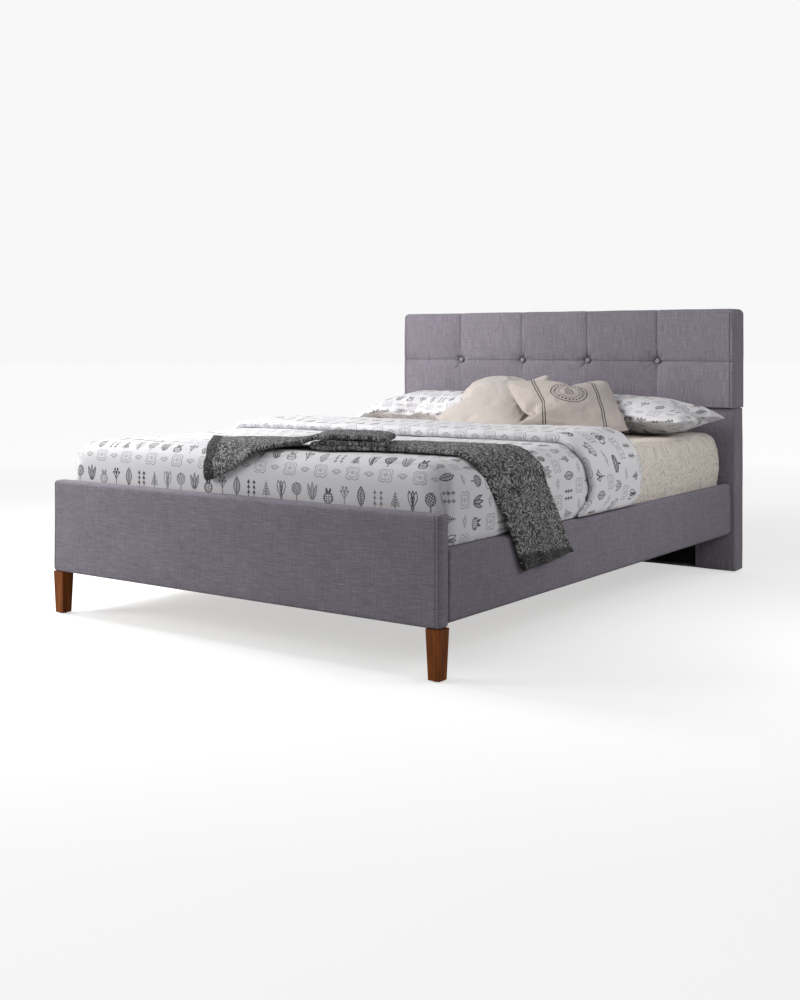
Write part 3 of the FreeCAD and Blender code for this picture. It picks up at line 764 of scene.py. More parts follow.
# ---- fleece -------------------------------------------------------------------------------------------------------------
def mat_fleece():
    m, t, bs = new_mat("fleece_cream", roughness=0.95, sheen=0.35, spec=0.15, sheen_rough=0.6, sheen_tint=srgb(255, 246, 236))
    c = obj_of(t)
    curl = t.voronoi(c, (200, 140, 230), feature="SMOOTH_F1")
    fine = t.noise(c, (700, 700, 700), 3.0, 0.7)
    pile = t.attr("pile")
    # painted shade: low pile and the borders between the curls are coloured darker, where the hollows between the curls
    # are in shade
    f = (pile * 0.75 + (0.60 - curl) * 0.75 + (fine - 0.5) * 0.22 + 0.16).clamp()
    col = t.ramp(f, [(0.0, srgb(158, 147, 136)), (0.35, srgb(200, 192, 183)), (0.72, srgb(229, 221, 213))])
    t.put(bs.inputs["Base Color"], col)
    t.put(bs.inputs["Normal"], t.bump((1.0 - curl) * 1.2 + fine * 0.8, 0.0035, 0.8))
    return m


# ---- marl knit ----------------------------------------------------------------------------------------------------------
def mat_knit():
    m, t, bs = new_mat("knit_grey_marl", roughness=0.93, sheen=0.2, spec=0.15, sheen_rough=0.5)
    c = uv_of(t)
    x, y, z = t.xyz(c)
    sw, sh = 0.0046, 0.0040
    wob = (t.noise(c, (150, 150, 1), 2.0) - 0.5) * 0.0020
    xs, ys = (x + wob) * (1 / sw), (y + wob) * (1 / sh)
    fx = xs - xs.floor()
    vy = ys + (fx - 0.5).abs() * 1.1
    cell = t.white(t.vec(xs.floor(), vy.floor()))
    cell2 = t.white(t.vec((xs * 2.0).floor() + 31.0, (vy * 1.6).floor() + 7.0))
    fleck = t.noise(c, (420, 420, 1), 2.0, 0.7)
    big = t.noise(c, (40, 40, 1), 2.0, 0.5)
    hem = t.attr("hem")
    f = (cell * 0.78 + cell2 * 0.28 + (fleck - 0.5) * 0.7 + (big - 0.5) * 0.10 - hem * 0.32 - 0.01).clamp()
    col = t.ramp(f, [(0.05, srgb(14, 14, 16)), (0.34, srgb(44, 44, 47)), (0.60, srgb(104, 105, 106)), (0.92, srgb(196, 198, 193))])
    t.put(bs.inputs["Base Color"], col)
    fy = vy - vy.floor()
    vee = (fy * math.pi).sin() * ((fx - 0.5).abs() * 2.0 * math.pi).sin().abs()
    t.put(bs.inputs["Normal"], t.bump(vee + cell * 0.6 + fleck * 0.8, 0.0018, 0.85))
    return m


def mat_ticking():
    m, t, bs = new_mat("ticking_white", roughness=0.85, sheen=0.1, spec=0.3)
    c = obj_of(t)
    x, y, z = t.xyz(c)
    d = ((x * 60.0).sin() * (y * 60.0).sin()).abs()
    n = t.noise(c, (500, 500, 500), 2.0)
    t.put(bs.inputs["Base Color"], t.ramp((n * 0.6 + d * 0.4).clamp(), [(0.2, srgb(214, 212, 208)), (0.8, srgb(234, 233, 229))]))
    t.put(bs.inputs["Normal"], t.bump(n + d * 1.5, 0.001, 0.6))
    return m


def mat_webbing():
    m, t, bs = new_mat("webbing_white", roughness=0.85, spec=0.3)
    c = obj_of(t)
    x, y, z = t.xyz(c)
    w = (x * 1500.0).sin() * (y * 1500.0).sin()
    t.put(bs.inputs["Base Color"], t.ramp((w * 0.5 + 0.5).clamp(), [(0.0, srgb(168, 166, 158)), (1.0, srgb(214, 212, 204))]))
    t.put(bs.inputs["Normal"], t.bump(w, 0.0006, 0.8))
    return m


M_UPH_HEAD = mat_upholstery("upholstery_heather_head", upright=0.95, level=0.60)
M_UPH_FOOT = mat_upholstery("upholstery_heather_foot", upright=0.60, level=1.00)
M_UPH_RAIL = mat_upholstery("upholstery_heather_rail", upright=0.75, level=0.80)
M_LINING = mat_lining()
M_LEG = mat_wood("leg_walnut_stain", (68, 30, 7), (156, 88, 30), 2, scale=1.3, roughness=0.50, coat=0.03, gloss=0.16)
M_TIMBER = mat_wood("frame_timber", (150, 118, 80), (204, 172, 128), 0, scale=0.8, roughness=0.75, knots=0.6)
M_TIMBER_Y = mat_wood("frame_timber_y", (150, 118, 80), (204, 172, 128), 1, scale=0.8, roughness=0.75, knots=0.6)
M_TIMBER_Z = mat_wood("frame_timber_z", (150, 118, 80), (204, 172, 128), 2, scale=0.8, roughness=0.75, knots=0.6)
M_SLAT = mat_wood("slat_birch", (190, 150, 104), (226, 192, 146), 0, scale=1.0, roughness=0.6, knots=0.35)
M_ZINC = mat_metal("zinc_plated", (196, 196, 192), 0.34)
M_BLACKSTEEL = mat_paint("black_powdercoat", (26, 26, 27))
M_PLASTIC = mat_paint("black_plastic", (24, 24, 24), 0.5)
M_WEB = mat_webbing()
M_TICK = mat_ticking()
M_FLEECE = mat_fleece()
M_DUVET = mat_print("cotton_print_duvet")
M_PILLOW = mat_print("cotton_print_pillow", shift=(0.021, 0.034))
M_PILLOW2 = mat_print("cotton_print_pillow_b", shift=(0.233, 0.034))
M_CREAM = mat_cream("cotton_cream", base=(191, 183, 178))
M_CANVAS = mat_cream("canvas_cream", base=(186, 176, 170), canvas=True)
M_KNIT = mat_knit()

CAD_MATERIALS = {
    "headboard_lower_lining": M_LINING, "headboard_back_lining": M_LINING, "leg_left": M_LEG, "leg_right": M_LEG,
    "headboard_upper_frame": M_TIMBER, "headboard_lower_frame": M_TIMBER, "footboard_frame": M_TIMBER,
    "headboard_strut_left": M_TIMBER_Z, "headboard_strut_right": M_TIMBER_Z, "rail_left_board": M_TIMBER_Y, "rail_right_board": M_TIMBER_Y,
    "slat_ledge_left": M_TIMBER_Y, "slat_ledge_right": M_TIMBER_Y, "centre_beam": M_TIMBER_Y, "centre_leg_front": M_TIMBER_Z, "centre_leg_rear": M_TIMBER_Z,
    "headboard_bolts": M_ZINC, "bracket_bolts": M_ZINC, "ledge_screws": M_ZINC, "hanger_bolts": M_ZINC,
    "corner_bracket_foot_left": M_BLACKSTEEL, "corner_bracket_foot_right": M_BLACKSTEEL, "corner_bracket_head_left": M_BLACKSTEEL,
    "corner_bracket_head_right": M_BLACKSTEEL, "centre_beam_bracket_foot": M_BLACKSTEEL, "centre_beam_bracket_head": M_BLACKSTEEL,
    "floor_glides": M_PLASTIC, "leveller_front": M_PLASTIC, "leveller_rear": M_PLASTIC, "slat_webbing": M_WEB,
}
for i in range(1, 13):
    CAD_MATERIALS["slat_%02d" % i] = M_SLAT
for name, mat in CAD_MATERIALS.items():
    ob = NODES[name]
    ob.data.materials.clear()
    ob.data.materials.append(mat)


def finish_piece(ob, body, mat, nodes=()):
    ob.data.materials.clear()
    ob.data.materials.append(mat)
    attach(ob, body)
    if nodes:
        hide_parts(*nodes)
    return ob


# =====================================================================================================================
# headboard, upper panel
# =====================================================================================================================
def headboard_upper():
    lo, hi = UP_LO.copy(), UP_HI.copy()
    lo[0] -= 0.003
    hi[0] += 0.004
    lo[2] += 0.0002
    hi[2] += 0.0025
    lo[1] += 0.0025
    hi[1] -= 0.0005
    seams = [b[0] for b in BUTTONS]
    edge = 0.017
    fine_x = [(s, 0.010, 0.0016) for s in seams] + [(lo[0] + edge, 0.006, 0.0015), (hi[0] - edge, 0.006, 0.0015)]
    xs = lines(lo[0], hi[0], 0.009, [(s, 0.050, 0.004) for s in seams] + fine_x, r=0.014, nr=6)
    zs = lines(lo[2], hi[2], 0.009, [(Z_TUFT, 0.050, 0.004), (Z_TUFT, 0.010, 0.0016), (hi[2] - edge, 0.006, 0.0015)], r=0.004, rb=0.022, nr=6)
    ys = lines(lo[1], hi[1], 0.012, [(lo[1] + 0.016, 0.005, 0.0015)], r=0.013, nr=5, rb=0.003)

    def vary(p, rl, rh):
        r = 0.012 + 0.013 * sstep(hi[2] - 0.10, hi[2] - 0.035, p[:, 2])
        rl[:, 0] = rh[:, 0] = r

    g = rbox(lo, hi, (0.014, 0.013, 0.0022), xs, ys, zs, rad_hi=(0.014, 0.003, 0.022), vary=vary)
    p, v, n = g["p"], g["v"], g["n"]
    front = sstep(0.3, 0.8, -n[:, 1])
    top = sstep(0.5, 0.9, n[:, 2])
    back = n[:, 1] > 0.9
    x, z = p[:, 0], p[:, 2]
    # crowned squares: full between the seams, tight along them
    cols = [lo[0]] + seams + [hi[0]]
    d = np.zeros(len(p))
    for a, b in zip(cols[:-1], cols[1:]):
        c, hw = (a + b) / 2, (b - a) / 2
        inside = (x >= a) & (x <= b)
        ux = np.clip(np.abs(x - c) / hw, 0, 1)
        for za, zb in ((lo[2], Z_TUFT), (Z_TUFT, hi[2])):
            sel = inside & (z >= za) & (z <= zb)
            uz = np.clip(np.abs(z - (za + zb) / 2) / ((zb - za) / 2), 0, 1)
            d = np.where(sel, 0.0042 * (1 - ux ** 4) * (1 - uz ** 4), d)
    d *= front
    soft = fbm(p, (0.10, 0.10, 0.13), 2, 3) * 0.0011
    # seams: a narrow stitched groove, upright above the buttons and faint below, and one level line
    for s in seams:
        below = np.where(z < Z_TUFT, 0.25, 1.0)
        d -= (0.0020 * bump(x - s, 0.0022) + 0.0016 * bump(x - s, 0.012)) * below * np.maximum(front, top * 0.8)
    d -= (0.0018 * bump(z - Z_TUFT, 0.0022) + 0.0016 * bump(z - Z_TUFT, 0.011)) * front
    # a boxing seam just inside the front edge
    for e in (lo[0] + edge, hi[0] - edge):
        d -= 0.0022 * bump(x - e, 0.0022) * front * (z < hi[2] - edge + 0.004)
        d += 0.0012 * bump(np.abs(x - e) - 0.006, 0.004) * front
    d -= 0.0022 * bump(z - (hi[2] - edge), 0.0022) * front * (np.abs(x) < hi[0] - edge + 0.004)
    # buttons pull the pad in, with puckers running out of them
    for k, (bx, bz) in enumerate(BUTTONS):
        dx, dz = x - bx, z - bz
        r = np.hypot(dx, dz)
        th = np.arctan2(dz, dx)
        d -= (0.0185 * bump(r, 0.0160) + 0.0075 * bump(r, 0.044)) * front
        ph = 1.3 * k
        fold = np.cos(8 * th + ph) * 0.55 + np.cos(5 * th - 2 * ph) * 0.45 + 0.35 * np.cos(13 * th + ph)
        d += fold * 0.0024 * np.exp(-((r - 0.028) / 0.022) ** 2) * front
    v = v + n * (d + soft * np.maximum(front, 0.6))[:, None]
    v[back, 1] = hi[1]
    # painted shade: the colour is darkened along the upright seams, the level seam and the boxing seams, where shade
    # falls in their grooves
    tone_and_painted_light = np.zeros(len(p))
    for s in seams:
        seam_shade_mask = bump(x - s, 0.0030) * np.where(z < Z_TUFT, 0.3, 1.0) * np.maximum(front, top)
        tone_and_painted_light -= 0.30 * seam_shade_mask
    tone_and_painted_light -= 0.24 * bump(z - Z_TUFT, 0.0028) * front
    for e in (lo[0] + edge, hi[0] - edge):
        tone_and_painted_light -= 0.22 * bump(x - e, 0.0028) * front
    seam_painted_shade = tone_and_painted_light
    tone_and_painted_light = np.zeros(len(p))
    tones = (0.02, 0.04, 0.01, -0.10, 0.03)
    for i, (a, b) in enumerate(zip(cols[:-1], cols[1:])):
        tone_and_painted_light = np.where((x >= a) & (x < b), tones[i] + np.where(z < Z_TUFT, -0.02, 0.02) * (1 if i % 2 else -1.5), tone_and_painted_light)
    tone_and_painted_light = tone_and_painted_light + seam_painted_shade
    ob = mesh_object("headboard_upper_cover", v, g["faces"], g["uv"], {"tone_and_painted_light": tone_and_painted_light})
    finish_piece(ob, "bed_frame", M_UPH_HEAD, ["headboard_upper_pad"])
    return v


def button(k, bx, bz):
    """Fabric-covered button: dome, turned-in rim and the gathered flange behind it."""
    prof = [(0.0, 0.0068), (0.0030, 0.0066), (0.0060, 0.0058), (0.0086, 0.0042), (0.0103, 0.0022), (0.0110, 0.0002), (0.0108, -0.0016), (0.0094, -0.0030), (0.0060, -0.0036), (0.0, -0.0038)]
    seg_n = 40
    yc = UP_LO[1] + 0.0150
    verts, faces = [], []
    for i, (r, h) in enumerate(prof):
        for j in range(seg_n):
            a = 2 * math.pi * j / seg_n
            rr = r * (1 + (0.02 * math.sin(7 * a + k) + 0.012 * math.sin(11 * a)) * (r / 0.011))
            verts.append((bx + rr * math.cos(a), yc - h, bz + rr * math.sin(a)))
    m = len(prof)
    for i in range(m - 1):
        for j in range(seg_n):
            j2 = (j + 1) % seg_n
            faces.append((i * seg_n + j, i * seg_n + j2, (i + 1) * seg_n + j2, (i + 1) * seg_n + j))
    v = np.array(verts)
    f = np.array(faces)[:, ::-1]
    uv = v[f.ravel()][:, [0, 2]]
    # painted highlight: the button's colour is raised by a tone of 0.30, standing in for the highlights on its dome
    ob = mesh_object("button_%d" % (k + 1), v, f, uv, {"tone_and_painted_light": np.full(len(v), 0.30)})
    me = ob.data
    import bmesh
    bm = bmesh.new()
    bm.from_mesh(me)
    bmesh.ops.remove_doubles(bm, verts=bm.verts, dist=1e-5)
    bmesh.ops.recalc_face_normals(bm, faces=bm.faces)
    bm.to_mesh(me)
    bm.free()
    finish_piece(ob, "bed_frame", M_UPH_HEAD, ["headboard_button_%d" % (k + 1)])
    return ob


headboard_upper()
for k, (bx, bz) in enumerate(BUTTONS):
    button(k, bx, bz)


# =====================================================================================================================
# headboard, lower panel; footboard; rails
# =====================================================================================================================
def headboard_lower():
    lo, hi = LW_LO.copy(), LW_HI.copy()
    lo[0] -= 0.002
    hi[0] += 0.003
    hi[2] -= 0.0002
    hi[1] -= 0.0005
    XL, ZL = 0.635, 0.205
    xs = lines(lo[0], hi[0], 0.016, [(s, 0.008, 0.0016) for s in (-XL, XL)] + [(lo[0] + 0.013, 0.005, 0.0015), (hi[0] - 0.013, 0.005, 0.0015)], r=0.011, nr=5)
    zs = lines(lo[2], hi[2], 0.016, [(ZL, 0.008, 0.0016)], r=0.003, nr=4)
    ys = lines(lo[1], hi[1], 0.014, r=0.010, nr=5, rb=0.003)
    g = rbox(lo, hi, (0.011, 0.010, 0.003), xs, ys, zs, rad_hi=(0.011, 0.003, 0.0018))
    p, v, n = g["p"], g["v"], g["n"]
    front = sstep(0.3, 0.8, -n[:, 1])
    x, z = p[:, 0], p[:, 2]
    d = 0.0030 * (1 - np.clip(np.abs(x) / hi[0], 0, 1) ** 6) * (1 - np.clip(np.abs(z - 0.33) / 0.33, 0, 1) ** 6) * front
    d += fbm(p, (0.16, 0.16, 0.16), 2, 9) * 0.0010
    for e in (lo[0] + 0.013, hi[0] - 0.013):
        d -= 0.0020 * bump(x - e, 0.0020) * front
    v = v + n * d[:, None]
    back = n[:, 1] > 0.9
    v[back, 1] = hi[1]
    hole = (1 - sstep(-0.004, 0.004, np.abs(x) - XL)) * (1 - sstep(-0.004, 0.004, z - ZL)) * front
    v[:, 1] += hole * 0.0165
    ob = mesh_object("headboard_lower_cover", v, g["faces"], g["uv"], {"tone_and_painted_light": np.full(len(v), -0.02)})
    finish_piece(ob, "bed_frame", M_UPH_HEAD, ["headboard_lower_pad"])


def footboard():
    lo, hi = FT_LO.copy(), FT_HI.copy()
    xs = lines(lo[0], hi[0], 0.016, [(lo[0] + 0.013, 0.006, 0.0015), (hi[0] - 0.013, 0.006, 0.0015)], r=0.014, nr=6)
    zs = lines(lo[2], hi[2], 0.014, r=0.012, nr=6)
    ys = lines(lo[1], hi[1], 0.009, [(lo[1] + 0.0105, 0.004, 0.0014)], r=0.012, nr=6)
    g = rbox(lo, hi, (0.014, 0.013, 0.012), xs, ys, zs)
    p, v, n = g["p"], g["v"], g["n"]
    x, z = p[:, 0], p[:, 2]
    front = sstep(0.3, 0.8, -n[:, 1])
    side = sstep(0.6, 0.9, np.abs(n[:, 0]))
    d = 0.0024 * (1 - np.clip(np.abs(x) / hi[0], 0, 1) ** 8) * (1 - np.clip(np.abs(z - 0.296) / 0.154, 0, 1) ** 6) * front
    d += fbm(p, (0.22, 0.22, 0.12), 2, 21) * 0.0011 * front
    # the fabric turns the corner in a sewn edge: a low welt with a stitch line beside it
    for s in (-1, 1):
        e = s * (hi[0] - 0.013)
        d -= 0.0020 * bump(x - e, 0.0022) * front
        d += 0.0010 * bump(x - e - s * 0.007, 0.004) * front
    d -= 0.0016 * bump(p[:, 1] - (lo[1] + 0.0105), 0.0018) * side
    d += fbm(p, (0.02, 0.02, 0.05), 2, 5) * 0.0005 * side
    # the wrap is pulled tight over the bottom edge
    d -= 0.0015 * bump(z - lo[2], 0.012) * front * (0.5 + 0.5 * np.cos(x * 90))
    v = v + n * d[:, None]
    low = n[:, 2] < -0.9
    v[low, 2] = np.maximum(v[low, 2], lo[2])
    # painted shade: the colour is a little lighter at the left end and falls off to the right, as the light does
    tone_and_painted_light = 0.02 - 0.02 * sstep(-0.7, 0.7, x)
    ob = mesh_object("footboard_cover", v, g["faces"], g["uv"], {"tone_and_painted_light": tone_and_painted_light})
    finish_piece(ob, "bed_frame", M_UPH_FOOT, ["footboard_pad"])


def rail(name, s):
    lo, hi = lohi("rail_%s_pad" % name)
    lo, hi = lo.copy(), hi.copy()
    lo[1] += 0.0012
    hi[1] -= 0.0012
    xs = lines(lo[0], hi[0], 0.007, r=0.010, nr=5)
    ys = lines(lo[1], hi[1], 0.018, [(lo[1] + 0.02, 0.02, 0.005), (hi[1] - 0.02, 0.02, 0.005)], r=0.006, nr=4)
    zs = lines(lo[2], hi[2], 0.012, r=0.012, nr=6)
    g = rbox(lo, hi, (0.011, 0.005, 0.013), xs, ys, zs)
    p, v, n = g["p"], g["v"], g["n"]
    out = sstep(0.3, 0.8, n[:, 0] * s)
    top = sstep(0.4, 0.9, n[:, 2])
    d = 0.0022 * (1 - np.clip(np.abs(p[:, 2] - 0.2525) / 0.1015, 0, 1) ** 5) * out
    d += fbm(p, (0.2, 0.26, 0.09), 3, 31 + (s > 0)) * 0.0011 * out
    d += fbm(p, (0.02, 0.09, 0.02), 2, 37) * 0.0009 * top
    # tight gathers where the cover is stapled round the ends
    for e in (lo[1], hi[1]):
        d += np.exp(-np.abs(p[:, 1] - e) / 0.05) * 0.0009 * np.sin(p[:, 2] * 150 + 1.0) * out
    v = v + n * d[:, None]
    v[:, 0] = np.where(s * v[:, 0] < s * (lo[0] if s > 0 else hi[0]), lo[0] if s > 0 else hi[0], v[:, 0])
    ob = mesh_object("rail_%s_cover" % name, v, g["faces"], g["uv"], {"tone_and_painted_light": np.full(len(v), -0.03)})
    finish_piece(ob, "bed_frame", M_UPH_RAIL, ["rail_%s_pad" % name])


headboard_lower()
footboard()
rail("left", -1)
rail("right", 1)


# =====================================================================================================================
# mattress and its fleece cover
# =====================================================================================================================
def mattress_round(p, rl, rh, lo, hi, more):
    """Full soft top edges where the duvet lies, tighter at the bare head end; upright corners stay tight."""
    up = sstep(hi[2] - 0.16, hi[2] - 0.05, p[:, 2])
    head = sstep(0.02, 0.20, p[:, 1])
    top = 0.090 - 0.026 * head + more
    rl[:, 0] = rh[:, 0] = 0.032 + more + (top - 0.032 - more) * up
    rh[:, 2] = top - 0.010
    rh[:, 1] = 0.026 + more + 0.012 * up


def mattress():
    lo, hi = MA_LO, MA_HI
    xs = lines(lo[0], hi[0], 0.03, r=0.045, nr=5)
    ys = lines(lo[1], hi[1], 0.03, r=0.045, nr=5)
    zs = lines(lo[2], hi[2], 0.008, [(lo[2] + 0.014, 0.008, 0.002)], r=0.012, nr=4, rb=0.08)
    g = rbox(lo, hi, (0.05, 0.05, 0.014), xs, ys, zs, rad_hi=(0.05, 0.03, 0.09), vary=lambda p, rl, rh: mattress_round(p, rl, rh, lo, hi, 0.010))
    p, v, n = g["p"], g["v"], g["n"]
    side = sstep(0.5, 0.9, np.hypot(n[:, 0], n[:, 1]))
    z = p[:, 2]
    d = -0.004 * side
    d += 0.0040 * bump(z - (lo[2] + 0.014), 0.0055) * side      # bound edge tape
    d -= 0.0030 * bump(z - (lo[2] + hi[2]) / 2, 0.004) * side
    flat = sstep(0.8, 0.95, np.abs(n[:, 2]))
    d -= (0.0035 * np.abs(np.sin(p[:, 0] * 21) * np.sin(p[:, 1] * 21)) ** 0.5) * flat * 0.8
    v = v + n * d[:, None]
    ob = mesh_object("mattress_block", v, g["faces"], g["uv"])
    finish_piece(ob, "mattress", M_TICK, ["mattress"])


def fleece():
    lo, hi = MC_LO.copy(), MC_HI.copy()
    st = 0.0048
    ysplit = 0.09
    hi[1] -= 0.0055
    xs = lines(lo[0], hi[0], st, r=0.060, nr=max(5, int(0.048 / st)))
    ys = np.concatenate([lines(lo[1], ysplit, 0.03, r=0.03)[:-1], lines(ysplit, hi[1], st, r=0.0)])
    zs = lines(lo[2], hi[2], st, r=0.0, nr=2, rb=0.060)
    g = rbox(lo, hi, (0.038, 0.050, 0.004), xs, ys, zs, skip=("-z",), rad_hi=(0.038, 0.03, 0.060), vary=lambda p, rl, rh: mattress_round(p, rl, rh, lo, hi, 0.0))
    p, v, n = g["p"], g["v"], g["n"]
    vis = sstep(ysplit, ysplit + 0.02, p[:, 1])
    w1 = worley(v, (0.0120, 0.0170, 0.0098), 5)
    w2 = worley(v, (0.0068, 0.0098, 0.0056), 9)
    pile = (1 - w1 * 1.25) * 0.65 + (1 - w2 * 1.25) * 0.35
    soft = fbm(p, (0.16, 0.16, 0.16), 2, 40)
    d = vis * (pile * 0.0042 - 0.0004) + soft * 0.0026 - 0.0030
    # the lower edge is drawn in under the mattress by its elastic
    hem = np.clip((p[:, 2] - lo[2]) / 0.05, 0, 1)
    d -= (1 - hem) ** 2 * 0.0035
    v2 = v + n * d[:, None]
    # above the rail the bare end swells out a little
    swell = np.sin(np.pi * np.clip((p[:, 2] - 0.362) / 0.17, 0, 1)) * sstep(0.14, 0.24, p[:, 1]) * sstep(0.6, 0.9, np.abs(n[:, 0]))
    v2[:, 0] += np.sign(p[:, 0]) * 0.0095 * swell
    t = 0.0035 * np.clip((p[:, 2] - lo[2]) / 0.004, 0.25, 1)
    V, F, UV = thick(v2, g["faces"], g["uv"], np.zeros(len(v2)), t)
    # the pile also drives painted shade in the fleece's colour, darker where the pile is low
    ob = mesh_object("fleece_cover", V, F, UV, {"pile": np.concatenate([pile * vis + 0.4 * (1 - vis), pile * 0 + 0.3])})
    finish_piece(ob, "mattress", M_FLEECE, ["mattress_cover"])


mattress()
fleece()


# =====================================================================================================================
# duvet: quilt with three dropped sides, and its head end folded back
# =====================================================================================================================
IX, IY0, IZ = MC_HI[0] + 0.0010, MC_LO[1] - 0.0010, MC_HI[2] + 0.0016
D_X, D_Y0, D_ZT, D_ZB = DV_HI[0] - 0.0134, DV_LO[1], IZ + 0.0238, DV_LO[2]
HEAD_MAIN, FOLD_Y0, FOLD_Y1 = 0.120, -0.236, 0.170


def duvet_wrinkles(p, seed=0):
    d = fbm(p, (0.30, 0.26, 0.20), 2, 50 + seed) * 0.0042
    d += fbm(p, (0.12, 0.09, 0.07), 2, 60 + seed) * 0.0018
    return d


def duvet_main():
    lo, hi = np.array([-D_X, D_Y0, D_ZB]), np.array([D_X, HEAD_MAIN, D_ZT])
    rx, ry, rz = 0.095, 0.056, 0.085
    xs = lines(lo[0], hi[0], 0.013, r=0.088, nr=11)
    ys = np.concatenate([lines(lo[1], 0.0, 0.013, r=0.050, nr=8)[:-8], np.linspace(-0.05, HEAD_MAIN, 14)])
    ys = np.unique(np.round(ys, 5))
    zs = lines(lo[2], hi[2], 0.011, r=0.0, nr=8, rb=0.082)
    # only the foot end and the sides are rounded; the head end is open
    hi2 = hi.copy()
    hi2[1] += ry
    g = rbox(lo, hi2, (rx, ry, rz), xs, np.concatenate([ys[:-1], [HEAD_MAIN]]), zs, skip=("-z", "+y"))
    p = g["p"]
    # undo the rounding along z at the open bottom: the drops hang straight there
    # the upright foot corners are tighter than the long top edges
    R = np.tile([rx, ry, rz], (len(p), 1))
    R[:, 0] = 0.046 + (rx - 0.046) * sstep(hi[2] - 0.15, hi[2] - 0.04, p[:, 2])
    R[:, 2] = 0.066 + (rz - 0.066) * sstep(D_Y0 + 0.02, D_Y0 + 0.22, p[:, 1])
    q = p.copy()
    q[:, 0] = np.clip(p[:, 0], lo[0] + R[:, 0], hi[0] - R[:, 0])
    q[:, 1] = np.maximum(p[:, 1], lo[1] + R[:, 1])
    q[:, 2] = np.minimum(p[:, 2], hi[2] - R[:, 2])
    d0 = (p - q) / R
    ln = np.maximum(np.linalg.norm(d0, axis=1, keepdims=True), 1e-9)
    v = q + d0 / ln * R
    n = d0 / ln / R
    n /= np.linalg.norm(n, axis=1, keepdims=True)
    side = sstep(0.5, 0.9, np.abs(n[:, 0]))
    foot = sstep(0.5, 0.9, -n[:, 1])
    top = sstep(0.5, 0.9, n[:, 2])
    z = p[:, 2]
    w = duvet_wrinkles(p)
    # the filling swells between the rail and the top edge, and thins where the hem is tucked in
    u = np.clip((z - lo[2]) / (hi[2] - lo[2]), 0, 1)
    d = w * (0.5 + 0.5 * top) + 0.0050 * np.sin(np.pi * np.clip(u, 0, 1)) * np.maximum(side, foot) * 0.8
    d += 0.0030 * top * np.cos(np.clip(p[:, 0] / D_X, -1, 1) * np.pi / 2)
    # upright creases in the drops
    d += side * 0.0022 * np.sin(p[:, 1] * 38 + 2.2 * vnoise(p, (0.3, 0.3, 0.3), 7)) * (1 - u) * (vnoise(p, (1, 0.3, 1), 8) * 0.5 + 0.5)
    # mitred corners at the foot: a creased fold down each upright edge
    cx, cy = D_X - 0.010, D_Y0 + 0.010
    dist = (D_X - np.abs(p[:, 0])) - (p[:, 1] - D_Y0)
    near = bump(D_X - np.abs(p[:, 0]), 0.09) * bump(p[:, 1] - D_Y0, 0.09)
    d -= 0.0055 * bump(dist, 0.009) * near * sstep(0.99, 0.80, u)
    d += 0.0030 * bump(dist - 0.018, 0.012) * near * sstep(1.0, 0.85, u)
    d[(foot > 0.2)] = np.minimum(d[foot > 0.2], 0.0)
    v = v + n * d[:, None]
    # hem: thickness falls to nothing at the border, as a rounded edge
    rho = 0.011
    e = np.minimum(z - lo[2], HEAD_MAIN - p[:, 1])
    k = np.sqrt(np.clip(1 - (1 - np.clip(e / rho, 0, 1)) ** 2, 0, 1))
    T = np.where(top > 0.5, 0.0200, 0.0165) * (1 - 0.0 * top)
    T = 0.0165 + 0.0045 * top
    out = -(1 - k) * T / 2
    inn = T / 2 + k * T / 2
    V, F, UV = thick(v, g["faces"], g["uv"], out, inn, n)
    # cloth coordinates run on down the drops
    uv = UV.reshape(-1, 2)
    fp = np.concatenate([p, p])[F.ravel()]
    fcount = len(F)
    nn = np.concatenate([n, n])[F].mean(1)
    cp = np.concatenate([p, p])[F].mean(1)
    eps = 1e-4
    isx = (np.abs(np.abs(np.concatenate([p, p])[F][:, :, 0]) - D_X) < eps).all(1)
    isy = (np.abs(np.concatenate([p, p])[F][:, :, 1] - D_Y0) < eps).all(1)
    P4 = np.concatenate([p, p])[F]
    u2, v2 = P4[:, :, 0].copy(), P4[:, :, 1].copy()
    drop = D_ZT - P4[:, :, 2]
    sx = np.sign(P4[:, :, 0].mean(1))[:, None]
    u2 = np.where(isx[:, None], sx * (D_X + drop), u2)
    v2 = np.where(isy[:, None], D_Y0 - drop, v2)
    UV = np.stack([u2, v2 - 0.0350], -1).reshape(-1, 2)
    ob = mesh_object("duvet_quilt", V, F, UV)
    finish_piece(ob, "duvet", M_DUVET, ["duvet"])
    return ob


